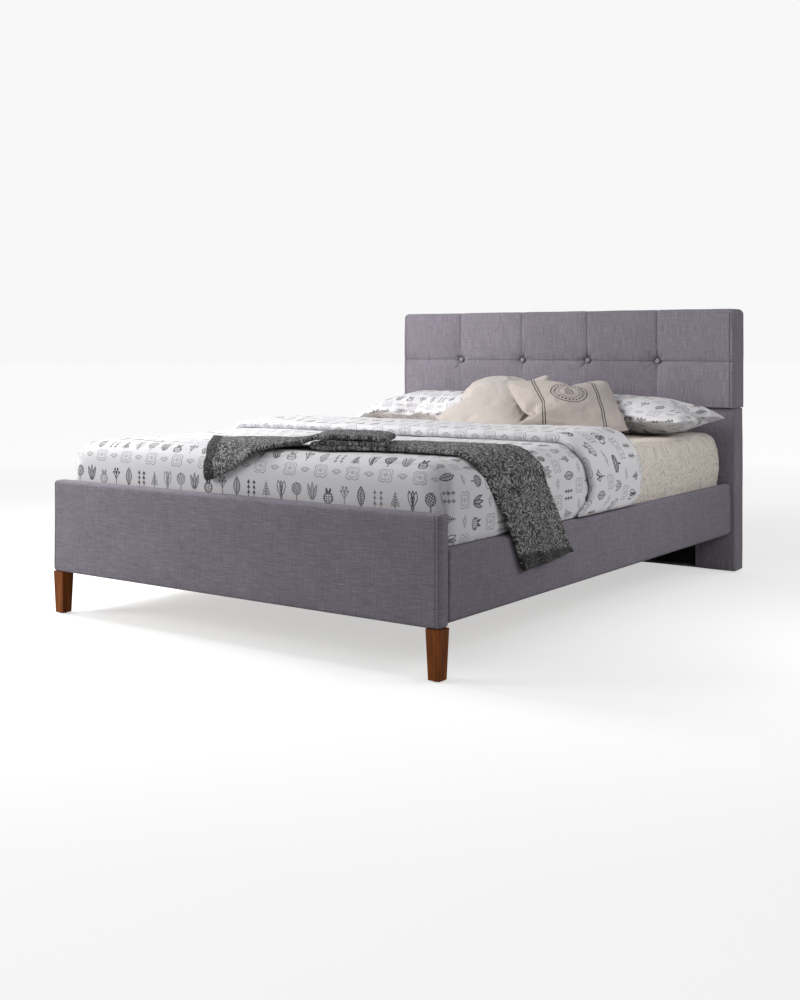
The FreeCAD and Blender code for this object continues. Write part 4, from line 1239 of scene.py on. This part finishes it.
def duvet_fold():
    """The folded-back head end: a closed rounded section in (y, height) swept over the bed from hem to hem."""
    base_r = 0.080
    zb = D_ZB + 0.004
    # sweep path in x, z: up the left side, over the top, down the right side
    left = [(-IX, z) for z in np.linspace(zb, IZ - base_r, 22)]
    arc = [(-IX + base_r - base_r * math.cos(a), IZ - base_r + base_r * math.sin(a)) for a in np.linspace(0, math.pi / 2, 14)[1:]]
    topx = [(x, IZ) for x in np.linspace(-IX + base_r, IX - base_r, 116)[1:-1]]
    arc2 = [(IX - base_r + base_r * math.cos(a), IZ - base_r + base_r * math.sin(a)) for a in np.linspace(math.pi / 2, 0, 14)]
    right = [(IX, z) for z in np.linspace(IZ - base_r, zb, 22)[1:]]
    path = np.array(left + arc + topx + arc2 + right)
    tan = np.gradient(path, axis=0)
    tan /= np.linalg.norm(tan, axis=1, keepdims=True)
    nor = np.stack([-tan[:, 1], tan[:, 0]], 1)
    sl = np.concatenate([[0], np.cumsum(np.linalg.norm(np.diff(path, axis=0), axis=1))])
    sl -= sl[-1] / 2
    m = len(path)
    # section, anticlockwise seen from +x: h is height over the fleece
    H0, H1 = 0.0262, 0.0580
    sec = []
    sec += [(y, H0) for y in np.linspace(0.118, FOLD_Y0 + 0.014, 30)]
    c = (FOLD_Y0 + 0.0135, (H0 + H1) / 2)
    sec += [(c[0] - 0.0175 * math.sin(a), c[1] - (H1 - H0) / 2 * math.cos(a)) for a in np.linspace(0, math.pi, 11)[1:-1]]
    sec += [(y, H1) for y in np.linspace(FOLD_Y0 + 0.014, FOLD_Y1 - 0.026, 34)]
    c = (FOLD_Y1 - 0.026, 0.0295)
    sec += [(c[0] + 0.026 * math.sin(a), c[1] + 0.0285 * math.cos(a)) for a in np.linspace(0, math.pi, 13)[1:-1]]
    sec += [(FOLD_Y1 - 0.028, 0.0010), (0.128, 0.0010), (0.124, 0.004), (0.123, 0.018)]
    sec = np.array(sec)
    k = len(sec)
    ends = np.minimum(np.abs(sl - sl[0]), np.abs(sl - sl[-1]))
    rings = np.zeros((m, k, 3))
    for i in range(m):
        topness = nor[i, 1]
        hs = sec[:, 1].copy()
        # on the drops the fold is pressed thinner
        hs = hs * (0.80 + 0.20 * topness)
        mid = 0.5 * (H0 + H1) * (0.80 + 0.20 * topness)
        if ends[i] < 0.020:                                  # rounded hems
            f = math.sqrt(max(0.0, 1 - (1 - ends[i] / 0.020) ** 2))
            hs = mid + (hs - mid) * max(f, 0.06)
        rings[i, :, 0] = path[i, 0] + nor[i, 0] * hs
        rings[i, :, 2] = path[i, 1] + nor[i, 1] * hs
        rings[i, :, 1] = sec[:, 0]
    flat = rings.reshape(-1, 3)
    S2, Y2 = np.repeat(sl, k), np.tile(sec[:, 0], m)
    Hh = np.tile(sec[:, 1], m)
    nr = np.repeat(np.stack([nor[:, 0], np.zeros(m), nor[:, 1]], 1), k, 0)
    P3 = np.stack([S2, Y2, np.zeros(len(S2))], 1)
    outer = sstep(0.030, 0.048, Hh)
    d = (fbm(P3, (0.30, 0.16, 1), 2, 71) * 0.0034 + fbm(P3, (0.10, 0.07, 1), 2, 73) * 0.0014) * outer
    d += 0.0035 * outer * np.cos(np.clip((Y2 + 0.03) / 0.22, -1, 1) * np.pi / 2)
    flat = flat + nr * d[:, None]
    # the rolled edge wanders a little along the bed
    edge = np.exp(-np.abs(Y2 - FOLD_Y0) / 0.08)
    flat[:, 1] += edge * (0.010 * vnoise(P3, (0.35, 1, 1), 77) + 0.004 * vnoise(P3, (0.11, 1, 1), 78)) * outer
    # on the drops the roll bulges towards the head at mid height and runs back to the foot at the hem
    Zp = np.repeat(path[:, 1], k)
    foot_dy = np.interp(Zp, [0.356, 0.372, 0.407, 0.447, 0.505, 0.545, 0.562], [-0.060, -0.043, 0.022, 0.036, 0.012, -0.012, 0.0])
    head_dy = np.interp(Zp, [0.356, 0.375, 0.392, 0.464, 0.541, 0.562], [-0.075, -0.052, -0.018, -0.002, -0.030, -0.020])
    share = sstep(FOLD_Y0 + 0.02, FOLD_Y1 - 0.06, Y2)
    flat[:, 1] += foot_dy * (1 - share) * (Hh > 0.022) + head_dy * share * sstep(0.0, 0.012, Hh)
    # and there it is fuller, like a bolster
    full = np.exp(-((Zp - 0.45) / 0.085) ** 2) * (np.abs(S2) > IX - 0.10)
    flat += nr * (0.006 * full * outer * np.cos(np.clip((Y2 + 0.03) / 0.21, -1, 1) * np.pi / 2))[:, None]
    idx, q = strip_tube(rings)
    # end caps as fans from the ring's middle
    V = [flat]
    tris, F = [], q
    base = len(flat)
    capv = []
    for ci, ring in enumerate((idx[0], idx[-1])):
        capv.append(flat[ring].mean(0))
        c_id = base + ci
        nx = np.roll(ring, -1)
        tri = np.stack([np.full(k, c_id), nx, ring], 1) if ci == 0 else np.stack([np.full(k, c_id), ring, nx], 1)
        tris.append(tri)
    V = np.concatenate([flat, np.array(capv)])
    tris = np.concatenate(tris)
    S3 = np.concatenate([S2, [sl[0], sl[-1]]])
    # cloth coordinate across: section arc length, so the print runs round the roll
    arcl = np.concatenate([[0], np.cumsum(np.linalg.norm(np.diff(sec, axis=0), axis=1))])
    A3 = np.concatenate([np.tile(arcl, m), [0.2, 0.2]])
    def uvs(f):
        u = S3[f]
        w = A3[f].copy()
        wrap = (w.max(1) - w.min(1)) > 0.3
        w[wrap] = np.where(w[wrap] < 0.2, w[wrap] + arcl[-1], w[wrap])
        return np.stack([u, -w + 0.06], -1).reshape(-1, 2)
    ob = mesh_object("duvet_fold", V, [q, tris], np.concatenate([uvs(q), uvs(tris)]))
    finish_piece(ob, "duvet", M_DUVET, ["duvet"])
    return ob


duvet_main()
duvet_fold()


# =====================================================================================================================
# pillows and cushions: flat cases inflated by the cloth solver
# =====================================================================================================================
def inflate(name, w, h, step, pressure, frames=22, shrink=-0.06, tens=18.0, bend=0.6, cap=None, seed=0, round_corner=0.0):
    """A flat two-sided case, sewn round its edge, blown up by cloth pressure. Returns object with cloth UVs, 'face' attribute 1 on top."""
    nx, ny = int(round(w / step)), int(round(h / step))
    X, Y = np.meshgrid(np.linspace(-w / 2, w / 2, nx + 1), np.linspace(-h / 2, h / 2, ny + 1), indexing="ij")
    e = np.minimum(np.minimum(X + w / 2, w / 2 - X), np.minimum(Y + h / 2, h / 2 - Y))
    lift = 0.012 * np.clip(e / 0.02, 0, 1)
    jit = (vnoise(np.stack([X.ravel(), Y.ravel(), X.ravel() * 0], 1), (0.05, 0.05, 1), seed).reshape(X.shape)) * 0.002 * np.clip(e / 0.02, 0, 1)
    topv = np.stack([X, Y, lift + jit], -1).reshape(-1, 3)
    botv = np.stack([X, Y, -lift + jit], -1).reshape(-1, 3)
    n1 = len(topv)
    idx = np.arange(n1).reshape(nx + 1, ny + 1)
    border = e.ravel() < 1e-9
    bmap = np.where(border, np.arange(n1), np.cumsum(~border) - 1 + n1)
    idb = bmap[idx]
    V = np.concatenate([topv, botv[~border]])
    qt = np.stack([idx[:-1, :-1], idx[1:, :-1], idx[1:, 1:], idx[:-1, 1:]], -1).reshape(-1, 4)
    qb = np.stack([idb[:-1, :-1], idb[:-1, 1:], idb[1:, 1:], idb[1:, :-1]], -1).reshape(-1, 4)
    Xf, Yf = X.ravel(), Y.ravel()
    uvt = np.stack([Xf[qt], Yf[qt]], -1).reshape(-1, 2)
    qbi = np.stack([idx[:-1, :-1], idx[:-1, 1:], idx[1:, 1:], idx[1:, :-1]], -1).reshape(-1, 4)
    uvb = np.stack([-Xf[qbi] + 2 * w, Yf[qbi]], -1).reshape(-1, 2)
    face = np.concatenate([np.ones(n1), np.zeros((~border).sum())])
    ob = mesh_object(name, V, np.concatenate([qt, qb]), np.concatenate([uvt, uvb]), {"face": face})
    cm = ob.modifiers.new("cloth", "CLOTH")
    s = cm.settings
    s.quality = 7
    s.mass = 0.25
    s.tension_stiffness = s.compression_stiffness = tens
    s.shear_stiffness = tens * 0.6
    s.bending_stiffness = bend
    s.use_pressure = True
    s.uniform_pressure_force = pressure
    s.shrink_min = shrink
    s.effector_weights.gravity = 0.0
    s.air_damping = 2.0
    s.tension_damping = s.compression_damping = s.shear_damping = 12.0
    s.bending_damping = 4.0
    cm.collision_settings.use_self_collision = False
    cm.point_cache.frame_start, cm.point_cache.frame_end = 1, frames
    for f in range(1, frames + 1):
        scene.frame_set(f)
    bake(ob)
    scene.frame_set(1)
    return ob


def rotz(a):
    c, s = math.cos(a), math.sin(a)
    return np.array([[c, -s, 0], [s, c, 0], [0, 0, 1]])


def rotx(a):
    c, s = math.cos(a), math.sin(a)
    return np.array([[1, 0, 0], [0, c, -s], [0, s, c]])


def height_map(v, faces_top, res=0.006):
    """Highest z over a plan grid, from dense points."""
    x0, y0 = v[:, 0].min() - 0.01, v[:, 1].min() - 0.01
    nx, ny = int((v[:, 0].max() + 0.01 - x0) / res) + 1, int((v[:, 1].max() + 0.01 - y0) / res) + 1
    H = np.full((nx, ny), -1.0)
    i = ((v[:, 0] - x0) / res).astype(int)
    j = ((v[:, 1] - y0) / res).astype(int)
    np.maximum.at(H, (i, j), v[:, 2])
    for _ in range(3):                                      # close small gaps between points
        P = np.pad(H, 1, constant_values=-1)
        near = np.max([P[1:-1, :-2], P[1:-1, 2:], P[:-2, 1:-1], P[2:, 1:-1]], 0)
        H = np.where(H < 0, near, H)
    return x0, y0, res, H


def sample(hm, x, y):
    x0, y0, res, H = hm
    fi, fj = (x - x0) / res - 0.5, (y - y0) / res - 0.5
    i, j = np.floor(fi).astype(int), np.floor(fj).astype(int)
    ok = (i >= 0) & (j >= 0) & (i < H.shape[0] - 1) & (j < H.shape[1] - 1)
    i, j = np.clip(i, 0, H.shape[0] - 2), np.clip(j, 0, H.shape[1] - 2)
    h = np.maximum.reduce([H[i, j], H[i + 1, j], H[i, j + 1], H[i + 1, j + 1]])
    return np.where(ok, h, -1.0)


def push_up(v, floor, gap=0.002, soft=0.012):
    """Raises what lies below floor + gap, with a soft shoulder, as filling gives way over what it rests on."""
    d = v[:, 2] - (floor + gap)
    raised = np.where(d < soft, gap + floor + np.where(d > -soft, (d + soft) ** 2 / (4 * soft), 0.0), v[:, 2])
    v = v.copy()
    v[:, 2] = np.where(floor > 0, np.maximum(raised, v[:, 2]), v[:, 2])
    return v


FLEECE_TOP = MC_HI[2] + 0.0015


def crowned(cx, cy, wide_top=0.0, ears=0.0):
    """Edges that bow out again between the corners once filled; the upper corners may spread, or round off."""
    def fn(v):
        v = v.copy()
        a, b = v[:, 0] / v[:, 0].max(), v[:, 1] / v[:, 1].max()
        v[:, 0] += np.sign(a) * cx * np.clip(1 - b * b, 0, 1) * sstep(0.30, 1.0, np.abs(a))
        v[:, 1] += np.sign(b) * cy * np.clip(1 - a * a, 0, 1) * sstep(0.30, 1.0, np.abs(b))
        v[:, 0] *= 1.0 + wide_top * sstep(-0.2, 1.0, b)
        if ears:
            k = sstep(0.50, 1.0, -a) * sstep(0.30, 1.0, b)
            v[:, 1] -= ears * k
            v[:, 0] += ears * k
            k = sstep(0.68, 1.0, a) * sstep(0.30, 1.0, b)
            v[:, 1] -= 0.80 * ears * k
            v[:, 0] -= 0.50 * ears * k
        return v
    return fn


def shape_cushion(ob, target_t, tilt=0.0, yaw=0.0, at=(0, 0, 0), floors=(), dents=(), size=None):
    v = coords(ob)
    v -= (v.max(0) + v.min(0)) / 2
    if size is not None:
        v[:, 0] *= size[0] / (v[:, 0].max() - v[:, 0].min())
        v[:, 1] *= size[1] / (v[:, 1].max() - v[:, 1].min())
    t = v[:, 2].max() - v[:, 2].min()
    v[:, 2] *= target_t / t
    for fn in dents:
        v = fn(v)
    v = v @ rotx(math.radians(tilt)).T @ rotz(math.radians(yaw)).T + np.array(at)
    before = v[:, 2].copy()
    for fl in floors:
        h = fl if isinstance(fl, float) else sample(fl, v[:, 0], v[:, 1])
        v = push_up(v, np.full(len(v), h) if isinstance(fl, float) else h)
    # what is pushed up takes the cloth round it along in an easy slope
    lift = v[:, 2] - before
    ed = np.zeros(len(ob.data.edges) * 2, int)
    ob.data.edges.foreach_get("vertices", ed)
    ed = ed.reshape(-1, 2)
    deg = np.bincount(ed.ravel(), minlength=len(v)).astype(float)
    soft = lift.copy()
    for _ in range(60):
        acc = np.bincount(ed[:, 0], weights=soft[ed[:, 1]], minlength=len(v)) + np.bincount(ed[:, 1], weights=soft[ed[:, 0]], minlength=len(v))
        soft = np.maximum(lift, 0.25 * soft + 0.75 * acc / np.maximum(deg, 1.0))
    v[:, 2] = before + soft
    set_coords(ob, v)
    return v


step = 0.0125
maps = {}
for side, s, sd in (("left", -1, 3), ("right", 1, 8)):
    ob = inflate("pillow_%s_case" % side, 0.80, 0.52, step, 3.2, seed=sd)
    subdivide(ob)

    def sag(v, s=s):
        # filling settles: fuller towards the headboard, thin at the front edge; corners point out
        a, b = v[:, 0] / 0.40, v[:, 1] / 0.26
        v = v.copy()
        v[:, 2] *= 1.0 + 0.10 * b
        v[:, 2] += 0.006 * fbm(v, (0.16, 0.13, 1), 2, 91 + int(s))
        # the left one's outer front corner droops to the sheet
        if s < 0:
            v[:, 2] -= 0.040 * sstep(0.55, 1.0, -a) * sstep(0.9, -0.9, b)
        return v

    lo, hi = lohi("pillow_" + side)
    c = (lo + hi) / 2
    cx = {"left": c[0] + 0.040, "right": c[0] - 0.006}[side]
    v = shape_cushion(ob, 0.172, at=(cx, c[1] - 0.004, FLEECE_TOP + 0.062), floors=(FLEECE_TOP,), dents=(sag, crowned(0.034, 0.016)), size=({"left": 0.700, "right": 0.752}[side], 0.475))
    v[:, 1] = np.minimum(v[:, 1], UP_LO[1] - 0.004)
    set_coords(ob, v)
    maps[side] = height_map(v, None)
    finish_piece(ob, "pillow_" + side, M_PILLOW if s < 0 else M_PILLOW2, ["pillow_" + side])

ob = inflate("cushion_plain_case", 0.44, 0.43, step, 3.0, seed=12)
subdivide(ob)
v = shape_cushion(ob, 0.128, tilt=28.0, yaw=3.0, at=(-0.024, 0.531, 0.680), floors=(FLEECE_TOP, maps["left"], maps["right"]), dents=(crowned(0.008, 0.044, 0.0, 0.042),), size=(0.415, 0.395))
maps["plain"] = height_map(v, None)
finish_piece(ob, "cushion_plain", M_CREAM, ["cushion_plain"])

ob = inflate("cushion_printed_case", 0.44, 0.38, step, 3.2, seed=15)
subdivide(ob)
v = shape_cushion(ob, 0.120, tilt=28.0, yaw=40.5, at=(0.337, 0.462, 0.673), floors=(FLEECE_TOP, maps["left"], maps["right"], maps["plain"]), dents=(crowned(0.008, 0.038, 0.07),), size=(0.405, 0.350))
finish_piece(ob, "cushion_printed", M_CANVAS, ["cushion_printed"])


# =====================================================================================================================
# throw
# =====================================================================================================================
def catmull(pts, n):
    pts = np.array(pts, float)
    d = np.concatenate([[0], np.cumsum(np.linalg.norm(np.diff(pts, axis=0), axis=1) ** 0.5)])
    ext = np.concatenate([[2 * pts[0] - pts[1]], pts, [2 * pts[-1] - pts[-2]]])
    out = []
    m = len(pts) - 1
    t = np.linspace(0, m, n)
    for x in t:
        i = min(int(x), m - 1)
        f = x - i
        p0, p1, p2, p3 = ext[i], ext[i + 1], ext[i + 2], ext[i + 3]
        out.append(0.5 * ((2 * p1) + (-p0 + p2) * f + (2 * p0 - 5 * p1 + 4 * p2 - p3) * f * f + (-p0 + 3 * p1 - 3 * p2 + p3) * f ** 3))
    return np.array(out)


def resample(pts, n):
    d = np.concatenate([[0], np.cumsum(np.linalg.norm(np.diff(pts, axis=0), axis=1))])
    s = np.linspace(0, d[-1], n)
    return np.stack([np.interp(s, d, pts[:, k]) for k in range(pts.shape[1])], 1), d[-1]


def throw():
    """Strip of knit given by its two long edges. Layers of the pleat stand on each other; t is the knit's thickness."""
    t = 0.0125
    zt = D_ZT + 0.0125                       # middle of the lowest layer on the quilt's top
    L = 0.0160                                # layer pitch in the pleat
    # near edge (towards the foot) and far edge (towards the head), from the left end to the right end
    near = [(-0.105, -1.0475, 0.484), (-0.030, -1.049, 0.512), (0.035, -1.047, 0.548), (0.085, -1.036, 0.582), (0.140, -1.006, zt + 0.003), (0.195, -0.978, zt + 0.012), (0.240, -0.955, zt + 1.85 * L), (0.282, -0.940, zt + 2.15 * L),
            (0.330, -0.925, zt + 2.25 * L), (0.400, -0.905, zt + 2.2 * L), (0.452, -0.893, zt + 1.95 * L), (0.470, -0.889, zt + 1.45 * L), (0.448, -0.893, zt + 1.02 * L),
            (0.400, -0.905, zt + 0.98 * L), (0.320, -0.928, zt + 1.02 * L), (0.262, -0.946, zt + 1.0 * L), (0.236, -0.953, zt + 0.5 * L), (0.262, -0.946, zt + 0.02 * L), (0.330, -0.926, zt),
            (0.430, -0.893, zt), (0.540, -0.868, zt), (0.630, -0.852, zt - 0.001), (0.7176, -0.846, 0.5850), (0.7564, -0.842, 0.5485), (0.7700, -0.823, 0.515), (0.7790, -0.783, 0.465), (0.7945, -0.745, 0.402), (0.8025, -0.704, 0.322), (0.8025, -0.664, 0.243)]
    far = [(-0.285, -0.835, zt + 0.001), (-0.215, -0.818, zt + 0.001), (-0.140, -0.800, zt + 0.002), (-0.060, -0.780, zt + 0.003), (0.010, -0.762, zt + 0.003), (0.070, -0.744, zt + 0.010), (0.112, -0.730, zt + 1.75 * L), (0.156, -0.716, zt + 2.1 * L),
           (0.200, -0.702, zt + 2.1 * L), (0.270, -0.682, zt + 2.1 * L), (0.318, -0.668, zt + 1.9 * L), (0.336, -0.662, zt + 1.45 * L), (0.316, -0.668, zt + 1.02 * L),
           (0.268, -0.682, zt + 0.98 * L), (0.190, -0.704, zt + 1.0 * L), (0.140, -0.720, zt + 1.0 * L), (0.116, -0.727, zt + 0.5 * L), (0.140, -0.720, zt + 0.02 * L), (0.200, -0.700, zt),
            (0.310, -0.655, zt), (0.430, -0.605, zt), (0.545, -0.568, zt), (0.635, -0.545, zt - 0.001), (0.7176, -0.525, 0.5850), (0.7564, -0.507, 0.5485), (0.7700, -0.488, 0.510), (0.7770, -0.470, 0.470), (0.7870, -0.452, 0.425), (0.7990, -0.424, 0.352), (0.8025, -0.392, 0.292), (0.8025, -0.362, 0.262)]
    ns, nw = 300, 44
    A, B = catmull(near, 900), catmull(far, 900)
    la, lb = np.concatenate([[0], np.cumsum(np.linalg.norm(np.diff(A, axis=0), axis=1))]), np.concatenate([[0], np.cumsum(np.linalg.norm(np.diff(B, axis=0), axis=1))])
    length = (la[-1] + lb[-1]) / 2
    # even spacing by the mean arc length
    lm = la / la[-1] * 0.5 + lb / lb[-1] * 0.5
    sp = np.linspace(0, 1, ns)
    A = np.stack([np.interp(sp, lm, A[:, k]) for k in range(3)], 1)
    B = np.stack([np.interp(sp, lm, B[:, k]) for k in range(3)], 1)
    nf = 160
    wf = np.linspace(0, 1, nf)
    P = A[:, None, :] * (1 - wf[None, :, None]) + B[:, None, :] * wf[None, :, None]

    def quilt_z(x, y):
        ry, rz = 0.056, 0.066
        e = np.clip((D_Y0 + ry - y) / ry, 0, 1)
        zy = D_ZT - rz * (1 - np.sqrt(np.clip(1 - e * e, 0, 1)))
        ex = np.clip((x - (D_X - 0.095)) / 0.095, 0, 1)
        zx = D_ZT - 0.085 * (1 - np.sqrt(np.clip(1 - ex * ex, 0, 1)))
        return np.minimum(zy, zx)

    # lie on the quilt: over its top, round its foot edge; then space each cross line by its own length
    x, y, z = P[..., 0], P[..., 1], P[..., 2]
    inside = (y > D_Y0 + 0.001) & (x < D_X - 0.001)
    clear = quilt_z(x, y) + t / 2 + 0.0050
    P[..., 2] = np.where(inside & (z < clear), clear, z)
    out = D_Y0 - t / 2 - 0.0055
    P[..., 1] = np.where((P[..., 2] < D_ZT - 0.030) & (x < 0.5) & (P[..., 1] > out), out, P[..., 1])
    for _ in range(10):
        P[:, 1:-1] = (P[:, :-2] + 2 * P[:, 1:-1] + P[:, 2:]) / 4
    rows = []
    for line in P:
        rows.append(resample(line, nw)[0])
    P = np.array(rows)
    for _ in range(2):
        P[1:-1] = (P[:-2] + 2 * P[1:-1] + P[2:]) / 4
    wv = np.linspace(0, 1, nw)
    P = P.reshape(-1, 3)
    S1 = np.repeat(sp, nw) * length
    W1 = np.tile(wv, ns) * 0.33
    # soft folds along the strip, stronger on the hanging end
    hang = sstep(0.62, 0.9, np.repeat(sp, nw))
    q = np.stack([S1, W1, np.zeros(len(S1))], 1)
    wav = (0.0032 * np.sin(W1 * 62 + 1.4 * np.sin(S1 * 3.1)) + 0.003 * np.sin(W1 * 27 + S1 * 2.0)) * (0.35 + 0.9 * hang)
    wav += 0.0016 * fbm(q, (0.07, 0.05, 1), 2, 101)
    idx = np.arange(ns * nw).reshape(ns, nw)
    F = np.stack([idx[:-1, :-1], idx[1:, :-1], idx[1:, 1:], idx[:-1, 1:]], -1).reshape(-1, 4)
    n = vertex_normals(P, F)
    flip = 1.0
    out = np.where(n[:, 2] >= 0, 1.0, -1.0)
    hx = sstep(0.70, 0.78, P[:, 0])
    out = np.where(hx > 0.5, np.where(n[:, 0] >= 0, 1.0, -1.0), out)
    in_pleat = (np.repeat(sp, nw) > 0.20) & (np.repeat(sp, nw) < 0.56)
    amp = np.where(in_pleat, 0.0, 1.0)
    P = P + n * (out * np.maximum(wav + 0.003, -0.001) * amp)[:, None]
    uv = np.stack([W1, S1], 1)[F.ravel()]
    hem = np.maximum(sstep(0.046, 0.038, S1), sstep(length - 0.046, length - 0.038, S1))
    line = np.maximum(bump(S1 - 0.044, 0.004), bump(S1 - (length - 0.044), 0.004))
    # rounded borders
    eW = np.minimum(W1, 0.33 - W1)
    eS = np.minimum(S1, length - S1)
    e = np.minimum(eW, eS)
    k = np.sqrt(np.clip(1 - (1 - np.clip(e / 0.006, 0, 1)) ** 2, 0, 1))
    tt = t * (0.22 + 0.78 * k) * (1 + 0.25 * bump(eW - 0.007, 0.007) + 0.18 * hem - 0.35 * line)
    rib = 0.0007 * np.sin(W1 * 2 * np.pi / 0.0125)
    V, F2, UV = thick(P, F, uv, tt / 2 + rib * 0.5, tt / 2 - rib * 0.5, n)
    ob = mesh_object("throw_knit", V, F2, UV, {"hem": np.concatenate([np.clip(hem * 1.4, 0, 1)] * 2)})
    finish_piece(ob, "throw", M_KNIT, ["throw"])
    return ob


throw()


# =====================================================================================================================
# floor, light and camera
# =====================================================================================================================
def stage():
    me = bpy.data.meshes.new("floor")
    r = 260.0
    me.from_pydata([(-r, -r, 0), (r, -r, 0), (r, r, 0), (-r, r, 0)], [], [(0, 1, 2, 3)])
    ob = bpy.data.objects.new("floor", me)
    scene.collection.objects.link(ob)
    m, t, bs = new_mat("floor_pale", roughness=0.95, spec=0.0)
    bs.inputs["Base Color"].default_value = (0.55, 0.55, 0.55, 1)
    bs.inputs["Emission Color"].default_value = (1, 1, 1, 1)
    # seen directly the floor is as pale as the backdrop; the light that it throws back on the bed stays low
    x, y, z = t.xyz(obj_of(t))
    far = (((x * x + y * y).sqrt() - 2.6) * 0.30).clamp()
    t.put(bs.inputs["Emission Strength"], S(t, t.node("ShaderNodeLightPath").outputs["Is Camera Ray"]) * (far * FAR_GLOW + FLOOR_GLOW))
    ob.data.materials.append(m)


FLOOR_GLOW, FAR_GLOW = 0.54, 0.17
stage()
world = bpy.data.worlds.new("studio") if scene.world is None else scene.world
scene.world = world
world.use_nodes = True
wt = Tree(world.node_tree)
for n in list(world.node_tree.nodes):
    world.node_tree.nodes.remove(n)
wx, wy, wz = wt.xyz(wt.node("ShaderNodeTexCoord").outputs["Generated"])
# soft surround: bright above, a little from the right, little from the front; the backdrop itself is near white
glow = wx.max(0.0) * 0.28 + (wz.max(0.0)) * 0.36 + (-wx).max(0.0) * 0.24 + 0.10
fill = wt.node("ShaderNodeBackground")
wt.put(fill.inputs["Color"], wt.vec(glow * 0.985, glow * 0.99, glow))
drop = wt.node("ShaderNodeBackground")
drop.inputs["Color"].default_value = (0.939, 0.939, 0.939, 1)
mixw = wt.node("ShaderNodeMixShader")
wt.put(mixw.inputs[0], wt.node("ShaderNodeLightPath").outputs["Is Camera Ray"])
world.node_tree.links.new(fill.outputs[0], mixw.inputs[1])
world.node_tree.links.new(drop.outputs[0], mixw.inputs[2])
world.node_tree.links.new(mixw.outputs[0], wt.node("ShaderNodeOutputWorld").inputs[0])


def area(name, loc, target, size, power, color=(1, 1, 1), size_y=None):
    ld = bpy.data.lights.new(name, "AREA")
    ld.energy = power
    ld.color = color
    ld.shape = "RECTANGLE"
    ld.size = size
    ld.size_y = size_y or size
    ob = bpy.data.objects.new(name, ld)
    scene.collection.objects.link(ob)
    ob.location = loc
    ob.visible_camera = False
    d = Vector(target) - Vector(loc)
    ob.rotation_euler = d.to_track_quat("-Z", "Y").to_euler()
    return ob


area("overhead_left", (-1.7, -0.9, 2.0), (-0.1, 0.95, 0.8), 1.2, 66, (1.0, 0.99, 0.975))
area("key_left_front", (-2.5, -2.9, 1.5), (-0.4, -1.0, 0.4), 1.3, 63, (1.0, 0.99, 0.98))
area("rim_right_back", (2.3, 3.2, 1.6), (0.8, -0.3, 0.4), 0.7, 9, (1.0, 1.0, 1.0))
area("fill_right", (1.95, 0.05, 1.0), (0.8, 0.05, 0.42), 0.5, 6.6, (1.0, 0.99, 0.985))

cam_data = bpy.data.cameras.new("camera")
cam = bpy.data.objects.new("camera", cam_data)
scene.collection.objects.link(cam)
cam.location = (2.7157, -3.9319, 0.9063)
cam.rotation_euler = (math.radians(90.10), 0.0, math.radians(35.56))
cam_data.sensor_width = 36.0
cam_data.lens = 1284.9 * 36.0 / 1000.0
cam_data.shift_x = -(405.65 - 400.0) / 1000.0
cam_data.shift_y = (343.03 - 500.0) / 1000.0
cam_data.clip_start = 0.05
cam_data.clip_end = 60.0
scene.camera = cam
scene.view_settings.view_transform = "Standard"
scene.view_settings.look = "None"
scene.view_settings.exposure = 0.0
scene.view_settings.gamma = 1.0
